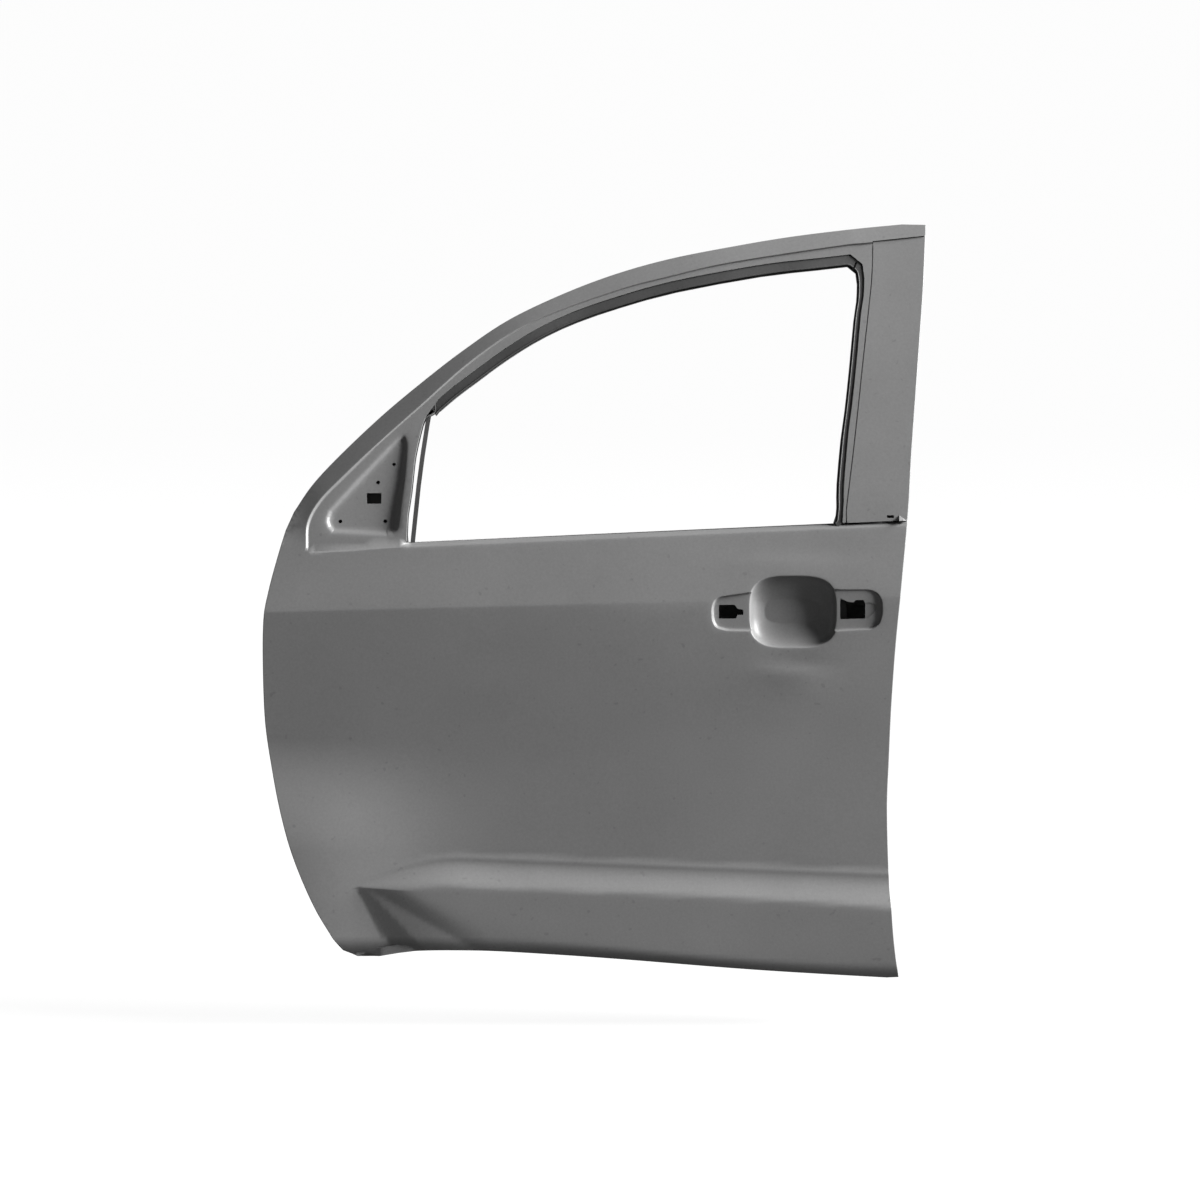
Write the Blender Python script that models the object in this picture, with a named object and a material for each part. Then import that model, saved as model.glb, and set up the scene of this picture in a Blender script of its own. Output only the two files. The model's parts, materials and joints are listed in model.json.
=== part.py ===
"""A bare front left car door shell, as it leaves the primer bath, with no glass, hinges, lock or seals.

The door stands as it hangs on the car. X runs rearward, Y inboard and Z up, in metres. Sizes below are in
door coordinates: X from the foremost point of the skin, Y from the skin's outer face at the belt and Z from
the lowest corner of the skin. An empty at the end moves all of it, so that the world's origin is the middle
of the upper hinge's mounting face.

Every sheet is cut from the same few surfaces. skin_y() is the outer face of the door as a formula, a layer is
the solid on the inboard side of that face moved inboard by a depth, and a prism is an outline carried along Y.
A stamping is a layer trimmed by prisms, less the same shape one sheet thickness further in.
"""

import math

import bmesh
import bpy
import numpy as np

# Sheets and clearances
SKIN_SHEET = 0.0008
INNER_SHEET = 0.0010
BRACKET_SHEET = 0.0015
CHANNEL_SHEET = 0.0009
GAP = 0.0003

# Feature lines of the outer face, each a straight line from the front edge to the rear edge
LENGTH = 1.085
BELT_FRONT_Z = 0.7125
BELT_REAR_Z = 0.7600
SHOULDER_FRONT_Z = 0.6135
SHOULDER_REAR_Z = 0.6405
HOLLOW_FRONT_Z = 0.2110
HOLLOW_REAR_Z = 0.1690
SILL_FRONT_Z = 0.1630
SILL_REAR_Z = 0.1040

# Forms of the outer face
SHOULDER_LEAN = 0.218
TUMBLEHOME = 0.175
TUMBLEHOME_GAIN = 0.150
LOWER_LEAN = 0.012
BOW_CENTRE_X = 0.700
BOW_DEPTH = 0.014
BULGE_OUT = 0.021
BULGE_NOSE_X = 0.140
BULGE_FULL_X = 0.340
TUCK_SLOPE = 0.120
TUCK_FRONT_X = 0.175
FLARE_OUT = 0.030
FLARE_X = 0.200
FLARE_REACH = 0.130
FLARE_TOP_Z = 0.350
CREASE_RADIUS = 0.002

# Outline of the skin, anticlockwise seen from outside, in door coordinates (X, Z)
FRONT_EDGE = (
    (0.035, 0.752), (0.021, 0.701), (0.009, 0.651), (0.001, 0.601), (0.000, 0.520), (0.004, 0.425),
    (0.016, 0.349), (0.033, 0.274), (0.056, 0.198), (0.088, 0.123), (0.120, 0.068),
)
LOWER_CORNER = ((0.136, 0.048), (0.160, 0.037))
BOTTOM_EDGE = (
    (0.197, 0.037), (0.265, 0.047), (0.365, 0.048), (0.466, 0.043), (0.600, 0.034), (0.817, 0.017),
    (1.045, 0.003),
)
REAR_EDGE = (
    (1.065, 0.004), (1.058, 0.048), (1.052, 0.123), (1.047, 0.274), (1.050, 0.370), (1.055, 0.475),
    (1.065, 0.601), (1.085, 0.777), (1.094, 0.888), (1.111, 1.061), (1.122, 1.170), (1.131, 1.285),
)
ROOF_EDGE = (
    (1.090, 1.286), (1.011, 1.278), (0.900, 1.264), (0.796, 1.246), (0.683, 1.223), (0.585, 1.194),
    (0.495, 1.158), (0.407, 1.114), (0.332, 1.062), (0.265, 1.009), (0.195, 0.949), (0.124, 0.880),
    (0.078, 0.829), (0.048, 0.783),
)

# The clear window opening, anticlockwise; its lower edge follows the belt
WINDOW_FRONT_X = 0.2525
WINDOW_REAR_X = 0.9640
WINDOW_OVER_BELT = 0.0095
WINDOW_REAR = (
    (0.967, 0.790), (0.968, 0.830), (0.976, 0.905), (0.984, 0.957), (0.994, 1.035), (1.003, 1.114),
    (1.009, 1.150), (1.011, 1.180),
)
WINDOW_CORNER = ((1.009, 1.200), (0.995, 1.212))
WINDOW_TOP = (
    (0.945, 1.206), (0.845, 1.194), (0.698, 1.166), (0.602, 1.139), (0.528, 1.113), (0.474, 1.088),
    (0.430, 1.062), (0.391, 1.035), (0.357, 1.009), (0.323, 0.983), (0.293, 0.957),
)
WINDOW_FRONT = ((0.274, 0.931), (0.267, 0.880), (0.261, 0.828), (0.253, 0.777))

# Rear edge of the sail, with a sight gap between it and the division channel
SAIL_REAR = (
    (0.269, 0.944), (0.264, 0.931), (0.258, 0.905), (0.253, 0.880), (0.250, 0.854), (0.2465, 0.815),
    (0.241, 0.777),
)
SAIL_REAR_X = 0.2395

# The step line between the outer band of the pillar and header and the lower band inside it
STEP_LINE = (
    (0.0700, 0.722), (0.0715, 0.764), (0.092, 0.803), (0.133, 0.846), (0.189, 0.900), (0.258, 0.963),
    (0.349, 1.045), (0.445, 1.109), (0.586, 1.164), (0.691, 1.193), (0.790, 1.216), (0.978, 1.246),
    (1.034, 1.252), (1.180, 1.268),
)
BAND_SLOPE = 0.34
BAND_REACH = 0.090
BAND_START_Z = 0.800
STEP_DEPTH = 0.003

# Window frame and glass channels
CHANNEL_LIP_REAR = 0.010
CHANNEL_LIP_TOP = 0.018
CHANNEL_SET_BACK = 0.005
CHANNEL_WIDTH = 0.022
REBATE_DEPTH = 0.0276
CHANNEL_GAP = 0.0004
FRAME_DEPTH = 0.038
CHANNEL_MITRE = 0.0003
HEADER_CHANNEL_FRONT_X = 0.2860

# Hem round the outline
HEM_WIDTH = 0.012
HEM_PLAY = 0.0003
EDGE_PLAY = 0.0004

# Belt edge of the skin
BELT_CHAMFER_RISE = 0.0075
BELT_CHAMFER_DEPTH = 0.0110

# Rear pillar panel
PILLAR_FRONT_EDGE = (
    (0.976, 0.745), (0.980, 0.785), (0.986, 0.830), (0.993, 0.880), (1.003, 0.957), (1.014, 1.044),
    (1.026, 1.134), (1.033, 1.190), (1.036, 1.239),
)
PILLAR_TOP_EDGE = ((1.037, 1.2525), (1.180, 1.2680))
PILLAR_LAP = 0.008
PILLAR_CORNER_PLAY = 0.004
PILLAR_SEAM = 0.0007
PILLAR_FLANGE = 0.012
PILLAR_SLOT_X = 1.0550
PILLAR_SLOT_OVER_BELT = 0.0158
PILLAR_SLOT_LENGTH = 0.0120
PILLAR_SLOT_HEIGHT = 0.0045

# Mirror pocket in the sail
POCKET_OUTLINE = (
    (0.112, 0.748), (0.208, 0.746), (0.222, 0.752), (0.226, 0.790), (0.234, 0.845), (0.239, 0.898),
    (0.235, 0.914), (0.226, 0.912), (0.212, 0.899), (0.157, 0.840), (0.106, 0.784), (0.102, 0.765),
)
POCKET_FLOOR_Y = 0.0330
POCKET_FLOOR_Z = 0.7600
POCKET_LEAN = 0.170
POCKET_WALL = 0.0080
POCKET_DEPTH = 0.0260
MIRROR_HOLES = ((0.127, 0.767), (0.203, 0.767), (0.190, 0.833))
MIRROR_HOLE_RADIUS = 0.0032
MIRROR_WINDOW = (0.171, 0.797, 0.196, 0.815)
MIRROR_SIGHT_HOLE = (0.2165, 0.8640)
MIRROR_SIGHT_HOLE_RADIUS = 0.0030

# Handle recess; the pads and holes are measured along X from the cup's nearer end
CUP_X = 0.889
CUP_Z = 0.6155
CUP_HALF_LENGTH = 0.0740
CUP_HALF_HEIGHT = 0.0615
CUP_DEPTH = 0.030
CUP_POWER = 3.2
CUP_MOUTH_Y = -0.024
CUP_SECTIONS = ((0.45, 0.93, 0.90), (0.80, 0.80, 0.70), (1.0, 0.62, 0.34))
FRONT_PAD = ((-0.049, 0.640), (0.015, 0.650), (0.015, 0.582), (-0.037, 0.583), (-0.055, 0.588), (-0.061, 0.600),
             (-0.062, 0.620), (-0.058, 0.634))
REAR_PAD = ((-0.018, 0.653), (0.055, 0.653), (0.068, 0.647), (0.075, 0.634), (0.076, 0.612), (0.071, 0.594),
            (0.059, 0.585), (-0.018, 0.581))
PAD_FLOOR_Y = -0.0165
PAD_WALL = 0.0025
HANDLE_BRACKET_Z = (0.5860, 0.6440)
HANDLE_BRACKET_FLANGE = 0.010
REAR_BRACKET_HOLE = (0.0260, 0.6180, 0.0420, 0.0330, 0.0030)
REAR_BRACKET_END = 0.0730
FRONT_HOLE = ((-0.050, 0.603), (-0.021, 0.603), (-0.019, 0.609), (-0.009, 0.609), (-0.009, 0.618), (-0.019, 0.619),
              (-0.023, 0.626), (-0.050, 0.626))
REAR_HOLE = ((0.005, 0.602), (0.049, 0.603), (0.059, 0.611), (0.066, 0.618), (0.065, 0.626), (0.055, 0.630),
             (0.046, 0.629), (0.045, 0.634), (0.031, 0.634), (0.028, 0.630), (0.018, 0.631), (0.005, 0.637))

# Inner panel
TRIM_Y = 0.072
LEDGE_INSET = 0.014
LEDGE_DEPTH = 0.020
PAN_INSET = 0.026
HINGE_X = 0.060
LATCH_X = 1.018
LATCH_BOTTOM_Z = 0.420
LATCH_TOP_Z = 0.620
LATCH_FACE_Y = 0.004
SHELF_RISE = 0.012
SHELF_SLOPE = 0.010
GLASS_SLOT_Y = 0.046
GLASS_SLOT_DEPTH = 0.030
GLASS_SLOT_REAR_X = 0.9815
EMBOSS_DEPTH = 0.006
SERVICE_HOLE = ((0.400, 0.250), (0.560, 0.205), (0.720, 0.205), (0.760, 0.240), (0.775, 0.520), (0.745, 0.560),
                (0.470, 0.560), (0.430, 0.530))
REAR_HOLE_INNER = ((0.835, 0.250), (0.930, 0.250), (0.945, 0.270), (0.945, 0.500), (0.925, 0.520),
                   (0.850, 0.520), (0.830, 0.500), (0.825, 0.265))
SERVICE_MARGIN = 0.028
SPEAKER_X = 0.250
SPEAKER_Z = 0.245
SPEAKER_RADIUS = 0.078
SPEAKER_MARGIN = 0.022
CLIP_HOLES = ((0.110, 0.620), (0.110, 0.460), (0.330, 0.120), (0.560, 0.110), (0.800, 0.095), (0.980, 0.110),
              (0.980, 0.560), (0.970, 0.690), (0.640, 0.680), (0.330, 0.665), (0.145, 0.690))
CLIP_HOLE_RADIUS = 0.0045
DRAIN_HOLES_X = (0.300, 0.560, 0.830)
DRAIN_LENGTH = 0.022
DRAIN_WIDTH = 0.006
DRAIN_Y = 0.030

# Hinge, check link and latch fixings
UPPER_HINGE_Z = 0.640
LOWER_HINGE_Z = 0.320
HINGE_Y = 0.040
HINGE_PLATE = 0.005
HINGE_PLATE_HEIGHT = 0.086
HINGE_PLATE_WIDTH = 0.046
HINGE_PAD_RISE = 0.0015
HINGE_PAD_MARGIN = 0.0016
HINGE_RELIEF = 0.0020
HINGE_BOLT_SPACING = 0.046
HINGE_BOLT_HOLE = 0.0055
NUT_FLATS = 0.016
NUT_HEIGHT = 0.007
NUT_BORE = 0.0042
MIRROR_NUT_FLATS = 0.0110
MIRROR_NUT_HEIGHT = 0.0050
CHECK_LINK_Z = 0.492
CHECK_SLOT_WIDTH = 0.026
CHECK_SLOT_HEIGHT = 0.014
CHECK_BOLT_SPACING = 0.040
CHECK_BOLT_HOLE = 0.0035
CHECK_PLATE_HEIGHT = 0.062
GROMMET_Z = 0.550
GROMMET_RADIUS = 0.015
LATCH_Z = 0.520
LATCH_MOUTH_HEIGHT = 0.040
LATCH_MOUTH_Y = 0.026
LATCH_SCREWS = ((0.012, 0.485), (0.012, 0.555), (0.046, 0.452))
LATCH_SCREW_HOLE = 0.0035
LATCH_PLATE_HEIGHT = 0.180

# Impact beam
BEAM_RADIUS = 0.0160
BEAM_WALL = 0.0022
BEAM_FRONT_X = 0.078
BEAM_FRONT_Z = 0.420
BEAM_REAR_X = 0.990
BEAM_REAR_Z = 0.335
BEAM_FROM_SKIN = 0.024
BEAM_BRACKET_LENGTH = 0.085
BEAM_BRACKET_FLANGE = 0.018
BEAM_REAR_WALL_X = 1.0190
BRACKET_PLATE_WIDTH = 0.044
BRACKET_PLATE_HEIGHT = 0.070
MASTIC_PLACES = (0.30, 0.46, 0.62, 0.78)
MASTIC_RADIUS = 0.014

# Belt reinforcements, as hats whose flanges lie on the sheet behind them
BELT_HAT_HEIGHT = 0.052
BELT_HAT_DEPTH = 0.010
BELT_HAT_FLANGE = 0.011
BELT_HAT_TOP = 0.004
OUTER_HAT_FRONT_X = 0.270
OUTER_HAT_REAR_X = 0.985
INNER_HAT_FRONT_X = 0.100
INNER_HAT_REAR_X = 0.985

# Division channel between the sail and the glass
DIVISION_PATH = ((0.2390, 0.455), (0.2450, 0.600), (0.2525, 0.735), (0.2610, 0.828), (0.2670, 0.880),
                 (0.2740, 0.931), (0.2770, 0.950))
DIVISION_LIP = 0.0062
UPPER_CHANNEL_FROM_SKIN = 0.0145
LOWER_CHANNEL_FROM_SKIN = 0.0260

# Lower rear channel, which carries the rear run channel on into the door
LOWER_CHANNEL_PATH = ((0.9690, 0.420), (0.9680, 0.560), (0.9650, 0.680), (0.9650, 0.7400), (0.9650, 0.7640))
LOWER_CHANNEL_DEPTH = 0.014

# How finely the surfaces are cut
CURVE_STEPS = 2
FAR_OUT = -0.300
FAR_IN = 0.400
LAYER_SPREAD = 5.0
STATIONS_X = (-0.06, 0.02, 0.07, 0.12, 0.16, 0.20, 0.25, 0.31, 0.38, 0.48, 0.60, 0.72, 0.84, 0.95, 1.05, 1.18)
ROUND_SIDES = 12
CUP_SIDES = 24

PRIMER = (0.150, 0.150, 0.150)
DARK_PRIMER = (0.110, 0.110, 0.110)
MASTIC = (0.030, 0.030, 0.032)
ZINC = (0.420, 0.415, 0.400)

PARTS = "car_door_shell"
CUTTERS = "cutters"


# Formulas of the outer face


def ramp(distance, radius):
    """Zero below the line and the distance above it, rounded over the radius."""
    return 0.5 * (distance + np.sqrt(distance * distance + radius * radius))


def least(a, b, radius):
    """The smaller of two distances, rounded where they cross."""
    return 0.5 * (a + b - np.sqrt((a - b) ** 2 + radius * radius))


def step(t):
    """Rises smoothly from 0 to 1 as t does."""
    t = np.clip(t, 0.0, 1.0)
    return t * t * (3.0 - 2.0 * t)


def line(x, front, rear):
    """Height of a feature line that is straight from the front edge to the rear edge."""
    return front + (rear - front) * x / LENGTH


def belt_z(x):
    return line(x, BELT_FRONT_Z, BELT_REAR_Z)


def shoulder_z(x):
    return line(x, SHOULDER_FRONT_Z, SHOULDER_REAR_Z)


def sill_z(x):
    return line(x, SILL_FRONT_Z, SILL_REAR_Z)


def hollow_z(x):
    """The dark line over the lower bulge, which curves down to the sill crease at its nose."""
    t = np.clip((BULGE_FULL_X - x) / (BULGE_FULL_X - BULGE_NOSE_X), 0.0, 1.0)
    nose = np.sqrt(1.0 - t * t) ** 1.5
    height = line(x, HOLLOW_FRONT_Z, HOLLOW_REAR_Z) - sill_z(x)
    return sill_z(x) + height * nose


def skin_y(x, z):
    """Outer face of the door: how far inboard it lies at a place."""
    x = np.asarray(x, float)
    z = np.asarray(z, float)
    over_belt = ramp(z - belt_z(x), CREASE_RADIUS)
    y = TUMBLEHOME * over_belt + TUMBLEHOME_GAIN * over_belt**2
    under_shoulder = ramp(shoulder_z(x) - z, CREASE_RADIUS)
    y = y - SHOULDER_LEAN * (ramp(belt_z(x) - z, CREASE_RADIUS) - under_shoulder)
    y = y + LOWER_LEAN * under_shoulder
    y = y + BOW_DEPTH * ((x - BOW_CENTRE_X) / BOW_CENTRE_X) ** 2
    sill, hollow = sill_z(x), hollow_z(x)
    share = np.clip((hollow - z) / np.maximum(hollow - sill, 0.004), 0.0, 1.0)
    full = (hollow - sill) / (line(x, HOLLOW_FRONT_Z, HOLLOW_REAR_Z) - sill)
    y = y - BULGE_OUT * full * step(0.85 * share) / step(0.85)
    flare = FLARE_OUT * np.exp(-(((x - FLARE_X) / FLARE_REACH) ** 2))
    y = y - flare * step((FLARE_TOP_Z - z) / (FLARE_TOP_Z - sill))
    under_sill = sill - z
    behind_front = x - TUCK_FRONT_X - under_sill
    return y + TUCK_SLOPE * ramp(least(under_sill, behind_front, CREASE_RADIUS), CREASE_RADIUS)


# Outlines


def smooth_edge(points, steps=CURVE_STEPS):
    """A curve through the points: a Catmull-Rom spline, with its ends carried straight on."""
    p = np.array(points, float)
    if steps == 1 or len(p) < 3:
        return p
    ends = np.vstack([2 * p[0] - p[1], p, 2 * p[-1] - p[-2]])
    t = np.linspace(0.0, 1.0, steps, endpoint=False)[:, None, None]
    a, b, c, d = ends[:-3], ends[1:-2], ends[2:-1], ends[3:]
    curve = 0.5 * (2 * b + (c - a) * t + (2 * a - 5 * b + 4 * c - d) * t**2 + (3 * b - a - 3 * c + d) * t**3)
    return np.vstack([curve.transpose(1, 0, 2).reshape(-1, 2), p[-1:]])


def outline_of(*edges):
    """One closed outline from edges that follow each other, each smooth within itself."""
    points = np.vstack([smooth_edge(edge) for edge in edges])
    apart = np.linalg.norm(points - np.roll(points, 1, axis=0), axis=1) > 1e-5
    return points[apart]


def grown(outline, distance):
    """The outline moved outwards by the distance, or inwards by a negative one, with mitred corners."""
    p = np.asarray(outline, float)
    ahead = np.roll(p, -1, axis=0) - p
    ahead /= np.linalg.norm(ahead, axis=1, keepdims=True)
    behind = np.roll(ahead, 1, axis=0)
    out_ahead = np.column_stack([ahead[:, 1], -ahead[:, 0]])
    out_behind = np.column_stack([behind[:, 1], -behind[:, 0]])
    share = 1.0 + (out_ahead * out_behind).sum(axis=1, keepdims=True)
    return p + (out_ahead + out_behind) * distance / np.maximum(share, 0.25)


def anticlockwise(points):
    p = np.asarray(points, float)
    area = (p[:, 0] * np.roll(p[:, 1], -1) - p[:, 1] * np.roll(p[:, 0], -1)).sum()
    return p if area > 0 else p[::-1]


def circle(x, z, radius, sides=ROUND_SIDES):
    angle = np.arange(sides) * 2 * math.pi / sides
    return np.column_stack([x + radius * np.cos(angle), z + radius * np.sin(angle)])


def squircle(x, z, half_length, half_height, power, sides=CUP_SIDES):
    angle = (np.arange(sides) + 0.5) * 2 * math.pi / sides
    c, s = np.cos(angle), np.sin(angle)
    return np.column_stack([
        x + half_length * np.sign(c) * np.abs(c) ** (2 / power),
        z + half_height * np.sign(s) * np.abs(s) ** (2 / power),
    ])


# Solids


def helper(name, mesh):
    """A cutter: shown as wire, left out of renders and kept in its own collection."""
    obj = bpy.data.objects.new(name, mesh)
    bpy.data.collections[CUTTERS].objects.link(obj)
    obj.hide_render = True
    obj.display_type = "WIRE"
    return obj


def loft(name, sections):
    """A solid through closed sections of equal length, with a flat cap on each end."""
    sections = [np.asarray(section, float) for section in sections]
    count = len(sections[0])
    body = bmesh.new()
    rings = [[body.verts.new(point) for point in section] for section in sections]
    for one, other in zip(rings, rings[1:]):
        for i in range(count):
            j = (i + 1) % count
            body.faces.new((one[i], one[j], other[j], other[i]))
    body.faces.new(rings[0])
    body.faces.new(rings[-1])
    bmesh.ops.recalc_face_normals(body, faces=body.faces)
    bmesh.ops.triangulate(body, faces=body.faces)
    mesh = bpy.data.meshes.new(name)
    body.to_mesh(mesh)
    body.free()
    return helper(name, mesh)


def at_y(outline, y):
    """An outline set at a depth, which may be one number or one for each point."""
    outline = np.asarray(outline, float)
    return np.column_stack([outline[:, 0], np.broadcast_to(y, len(outline)), outline[:, 1]])


def prism(name, outline, y_from=FAR_OUT, y_to=FAR_IN + 0.200):
    return loft(name, [at_y(outline, y_from), at_y(outline, y_to)])


def bar_x(name, outline_yz, x_from, x_to):
    """An outline in the YZ plane carried along X."""
    p = np.asarray(outline_yz, float)
    return loft(name, [np.column_stack([np.full(len(p), x), p]) for x in (x_from, x_to)])


def box(name, low, high):
    """A box between two corners."""
    mesh = bpy.data.meshes.new(name)
    body = bmesh.new()
    bmesh.ops.create_cube(body, size=1.0)
    middle = (np.array(low) + np.array(high)) / 2
    size = np.array(high) - np.array(low)
    for vert in body.verts:
        vert.co = middle + size * np.array(vert.co)
    body.to_mesh(mesh)
    body.free()
    return helper(name, mesh)


def rod_x(name, y, z, radius, x_from, x_to, sides=ROUND_SIDES):
    """A round bar along X."""
    return bar_x(name, circle(y, z, radius, sides), x_from, x_to)


def rows_at(x):
    """Heights at which the outer face is cut at one station, so that its creases lie on edges."""
    sill, shoulder, belt = sill_z(x), shoulder_z(x), belt_z(x)
    hollow = max(hollow_z(x), sill + 0.006)
    bulge = [sill + (hollow - sill) * share for share in (0.0, 0.35, 0.7, 1.0)]
    lower = [-0.060, sill - 0.075, *bulge, 0.270, FLARE_TOP_Z, 0.480]
    upper = [shoulder, belt, belt + 0.100, belt + 0.220, belt + 0.350, belt + 0.480, belt + 0.660]
    return lower + upper


def face_solid(name, depth_at, far, spare=0.0, rows=rows_at):
    """The solid between a face y = depth_at(x, z) and a far plane, lofted along X.

    It reaches past the door by a margin and the spare length, so that no two such solids end on one plane.
    """
    sections = []
    stations = np.array(STATIONS_X)
    stations[[0, -1]] += (-spare, spare)
    for x in stations:
        z = np.array(rows(x), float)
        z[[0, -1]] += (-spare, spare)
        face = np.column_stack([np.full(len(z), x), depth_at(x, z), z])
        back = np.array([[x, far, z[-1]], [x, far, z[0]]])
        sections.append(np.vstack([face, back]))
    return loft(name, sections)


# Booleans


def result_of(piece, operation, tool, solver):
    """The mesh that one Boolean gives."""
    modifier = piece.modifiers.new(operation.lower(), "BOOLEAN")
    modifier.operation = operation
    modifier.solver = solver
    modifier.object = tool
    graph = bpy.context.evaluated_depsgraph_get()
    mesh = bpy.data.meshes.new_from_object(piece.evaluated_get(graph))
    piece.modifiers.clear()
    return mesh


def closed(mesh):
    """True for a mesh with faces whose every edge has two of them."""
    edges = np.empty(len(mesh.loops), np.int32)
    mesh.loops.foreach_get("edge_index", edges)
    return len(edges) > 0 and bool((np.bincount(edges, minlength=len(mesh.edges)) == 2).all())


def boolean(piece, operation, tools):
    """Cuts or joins with each tool in turn, by the EXACT solver or, where that leaves it open, by MANIFOLD."""
    for tool in tools:
        mesh = result_of(piece, operation, tool, "EXACT")
        if not closed(mesh):
            bpy.data.meshes.remove(mesh)
            mesh = result_of(piece, operation, tool, "MANIFOLD")
        old = piece.data
        piece.data = mesh
        bpy.data.meshes.remove(old)
    return piece


def minus(piece, *tools):
    return boolean(piece, "DIFFERENCE", tools)


def common(piece, *tools):
    return boolean(piece, "INTERSECT", tools)


def plus(piece, *tools):
    return boolean(piece, "UNION", tools)


def twin(piece, name):
    return helper(name, piece.data.copy())


# Shared tools, made once


class Door:
    """The outlines and layers that more than one piece is cut from."""

    def __init__(self):
        self.outline = anticlockwise(
            outline_of(FRONT_EDGE, LOWER_CORNER, BOTTOM_EDGE, REAR_EDGE, ROOF_EDGE)
        )
        self.window = anticlockwise(
            outline_of(window_belt(WINDOW_FRONT_X), WINDOW_REAR, WINDOW_CORNER, WINDOW_TOP, WINDOW_FRONT)
        )
        self.frame_window = anticlockwise(
            outline_of(window_belt(SAIL_REAR_X), WINDOW_REAR, WINDOW_CORNER, WINDOW_TOP, SAIL_REAR)
        )
        self.channel_outline = raised(grown(self.window, CHANNEL_LIP_REAR))
        self.step_outline = anticlockwise(np.vstack([
            np.array(STEP_LINE)[::-1],
            [(0.0740, 0.7165), (SAIL_REAR_X, belt_z(SAIL_REAR_X))],
            [(STEP_LINE[-1][0], belt_z(STEP_LINE[-1][0]) + BELT_CHAMFER_RISE)],
        ]))
        self.solids = {}

    def kept(self, name, make, *values):
        """The shared solid of this name, made the first time it is asked for."""
        key = "_".join([name, *(f"{value * 1000:.2f}" for value in values)])
        if key not in self.solids:
            self.solids[key] = make(key, *values)
        return self.solids[key]

    def outline_prism(self, inset):
        """The door's outline moved in by the inset and carried along Y."""
        return self.kept("outline_in", lambda key, d: prism(key, grown(self.outline, -d)), inset)

    def rim(self, width):
        """All that lies outside the outline moved in by the width."""
        def make(key, inset):
            return minus(prism(key, grown(self.outline, 0.030 + inset)), self.outline_prism(inset))
        return self.kept("rim", make, width)

    def layer(self, depth):
        """All that lies inboard of the outer face moved in by the depth."""
        def make(key, d):
            spare = d * LAYER_SPREAD
            solid = face_solid(key, lambda x, z: skin_y(x, z) + d, FAR_IN + spare, spare)
            return minus(solid, self.band_wedge(d), self.belt_wedge(d))
        return self.kept("layer", make, depth)

    def under_skin(self, depth):
        """All that lies inboard of the outer skin's own face, with its stepped window surround, moved in."""
        def make(key, d):
            return minus(twin(self.layer(d), key), self.step_recess(d))
        return self.kept("under_skin", make, depth)

    def step_recess(self, depth):
        """What is taken from a layer inside the step line, so that it lies lower there."""
        def make(key, d):
            surround = prism(key, grown(self.step_outline, d), FAR_OUT - 0.020 - d, FAR_IN / 2)
            return minus(surround, self.layer(STEP_DEPTH + d))
        return self.kept("step_recess", make, depth)

    def band_wedge(self, depth):
        """What the outer band of the pillar and header loses: a wedge that deepens away from the step line."""
        path = np.array(STEP_LINE)
        ahead = np.gradient(path, axis=0)
        ahead /= np.linalg.norm(ahead, axis=1, keepdims=True)
        outward = np.column_stack([-ahead[:, 1], ahead[:, 0]])
        sections = []
        for point, side in zip(path, outward):
            slope = BAND_SLOPE * step((point[1] - path[0, 1]) / (BAND_START_Z - path[0, 1]))
            lift = slope * BAND_REACH - 0.0005
            inner, outer = point, point + side * BAND_REACH
            sections.append([
                (inner[0], FAR_OUT + 0.01, inner[1]),
                (inner[0], float(skin_y(*inner)) + depth - 0.0005, inner[1]),
                (outer[0], float(skin_y(*outer)) + depth + lift, outer[1]),
                (outer[0], FAR_OUT + 0.01, outer[1]),
            ])
        return loft(f"band_wedge_{depth * 1000:.2f}", sections)

    def belt_wedge(self, depth):
        """What the top of the skin loses along the window: it turns inboard there as a sloping belt edge."""
        sections = []
        for x in (SAIL_REAR_X, 0.45, 0.70, 0.95, 1.20):
            z = float(belt_z(x))
            y = float(skin_y(x, z)) + depth
            top = z + BELT_CHAMFER_RISE
            sections.append([
                (x, FAR_OUT + 0.02, z), (x, y, z), (x, y + BELT_CHAMFER_DEPTH, top),
                (x, FAR_OUT + 0.02, top),
            ])
        return loft(f"belt_wedge_{depth * 1000:.2f}", sections)


def window_belt(front_x):
    """Lower edge of the window opening, from the sail or the division channel to the rear post."""
    places = (front_x, (front_x + WINDOW_REAR_X) / 2, WINDOW_REAR_X)
    return [(x, float(belt_z(x)) + WINDOW_OVER_BELT) for x in places]


def raised(outline):
    """The window's outline with its upper edge moved up, to give the header's channel its wider lip."""
    lift = (CHANNEL_LIP_TOP - CHANNEL_LIP_REAR) * step((outline[:, 1] - 0.85) / 0.10)
    return outline + np.column_stack([np.zeros(len(outline)), lift])


# Recesses, each asked for at depth 0 for its outer side and one sheet further in for its inner side


def pocket(depth):
    """The mirror pocket in the sail: sloping walls and a flat floor."""
    outline = anticlockwise(POCKET_OUTLINE)
    mouth = grown(outline, depth + POCKET_WALL * 0.5)
    foot = grown(outline, depth - POCKET_WALL * 0.5)
    return loft(f"pocket_{depth * 1000:.2f}", [
        at_y(mouth, pocket_floor_y(mouth[:, 1]) - 0.100),
        at_y(mouth, pocket_floor_y(mouth[:, 1]) + depth - POCKET_DEPTH),
        at_y(foot, pocket_floor_y(foot[:, 1]) + depth),
    ])


def pocket_floor_y(z):
    """The mirror pocket's floor is one plane that leans in with the sail."""
    return POCKET_FLOOR_Y + POCKET_LEAN * (z - POCKET_FLOOR_Z)


def beside_cup(points, side):
    """Places measured from the cup's front end for side -1, or from its rear end for side 1."""
    return np.array(points) + (CUP_X + side * CUP_HALF_LENGTH, 0.0)


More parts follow.
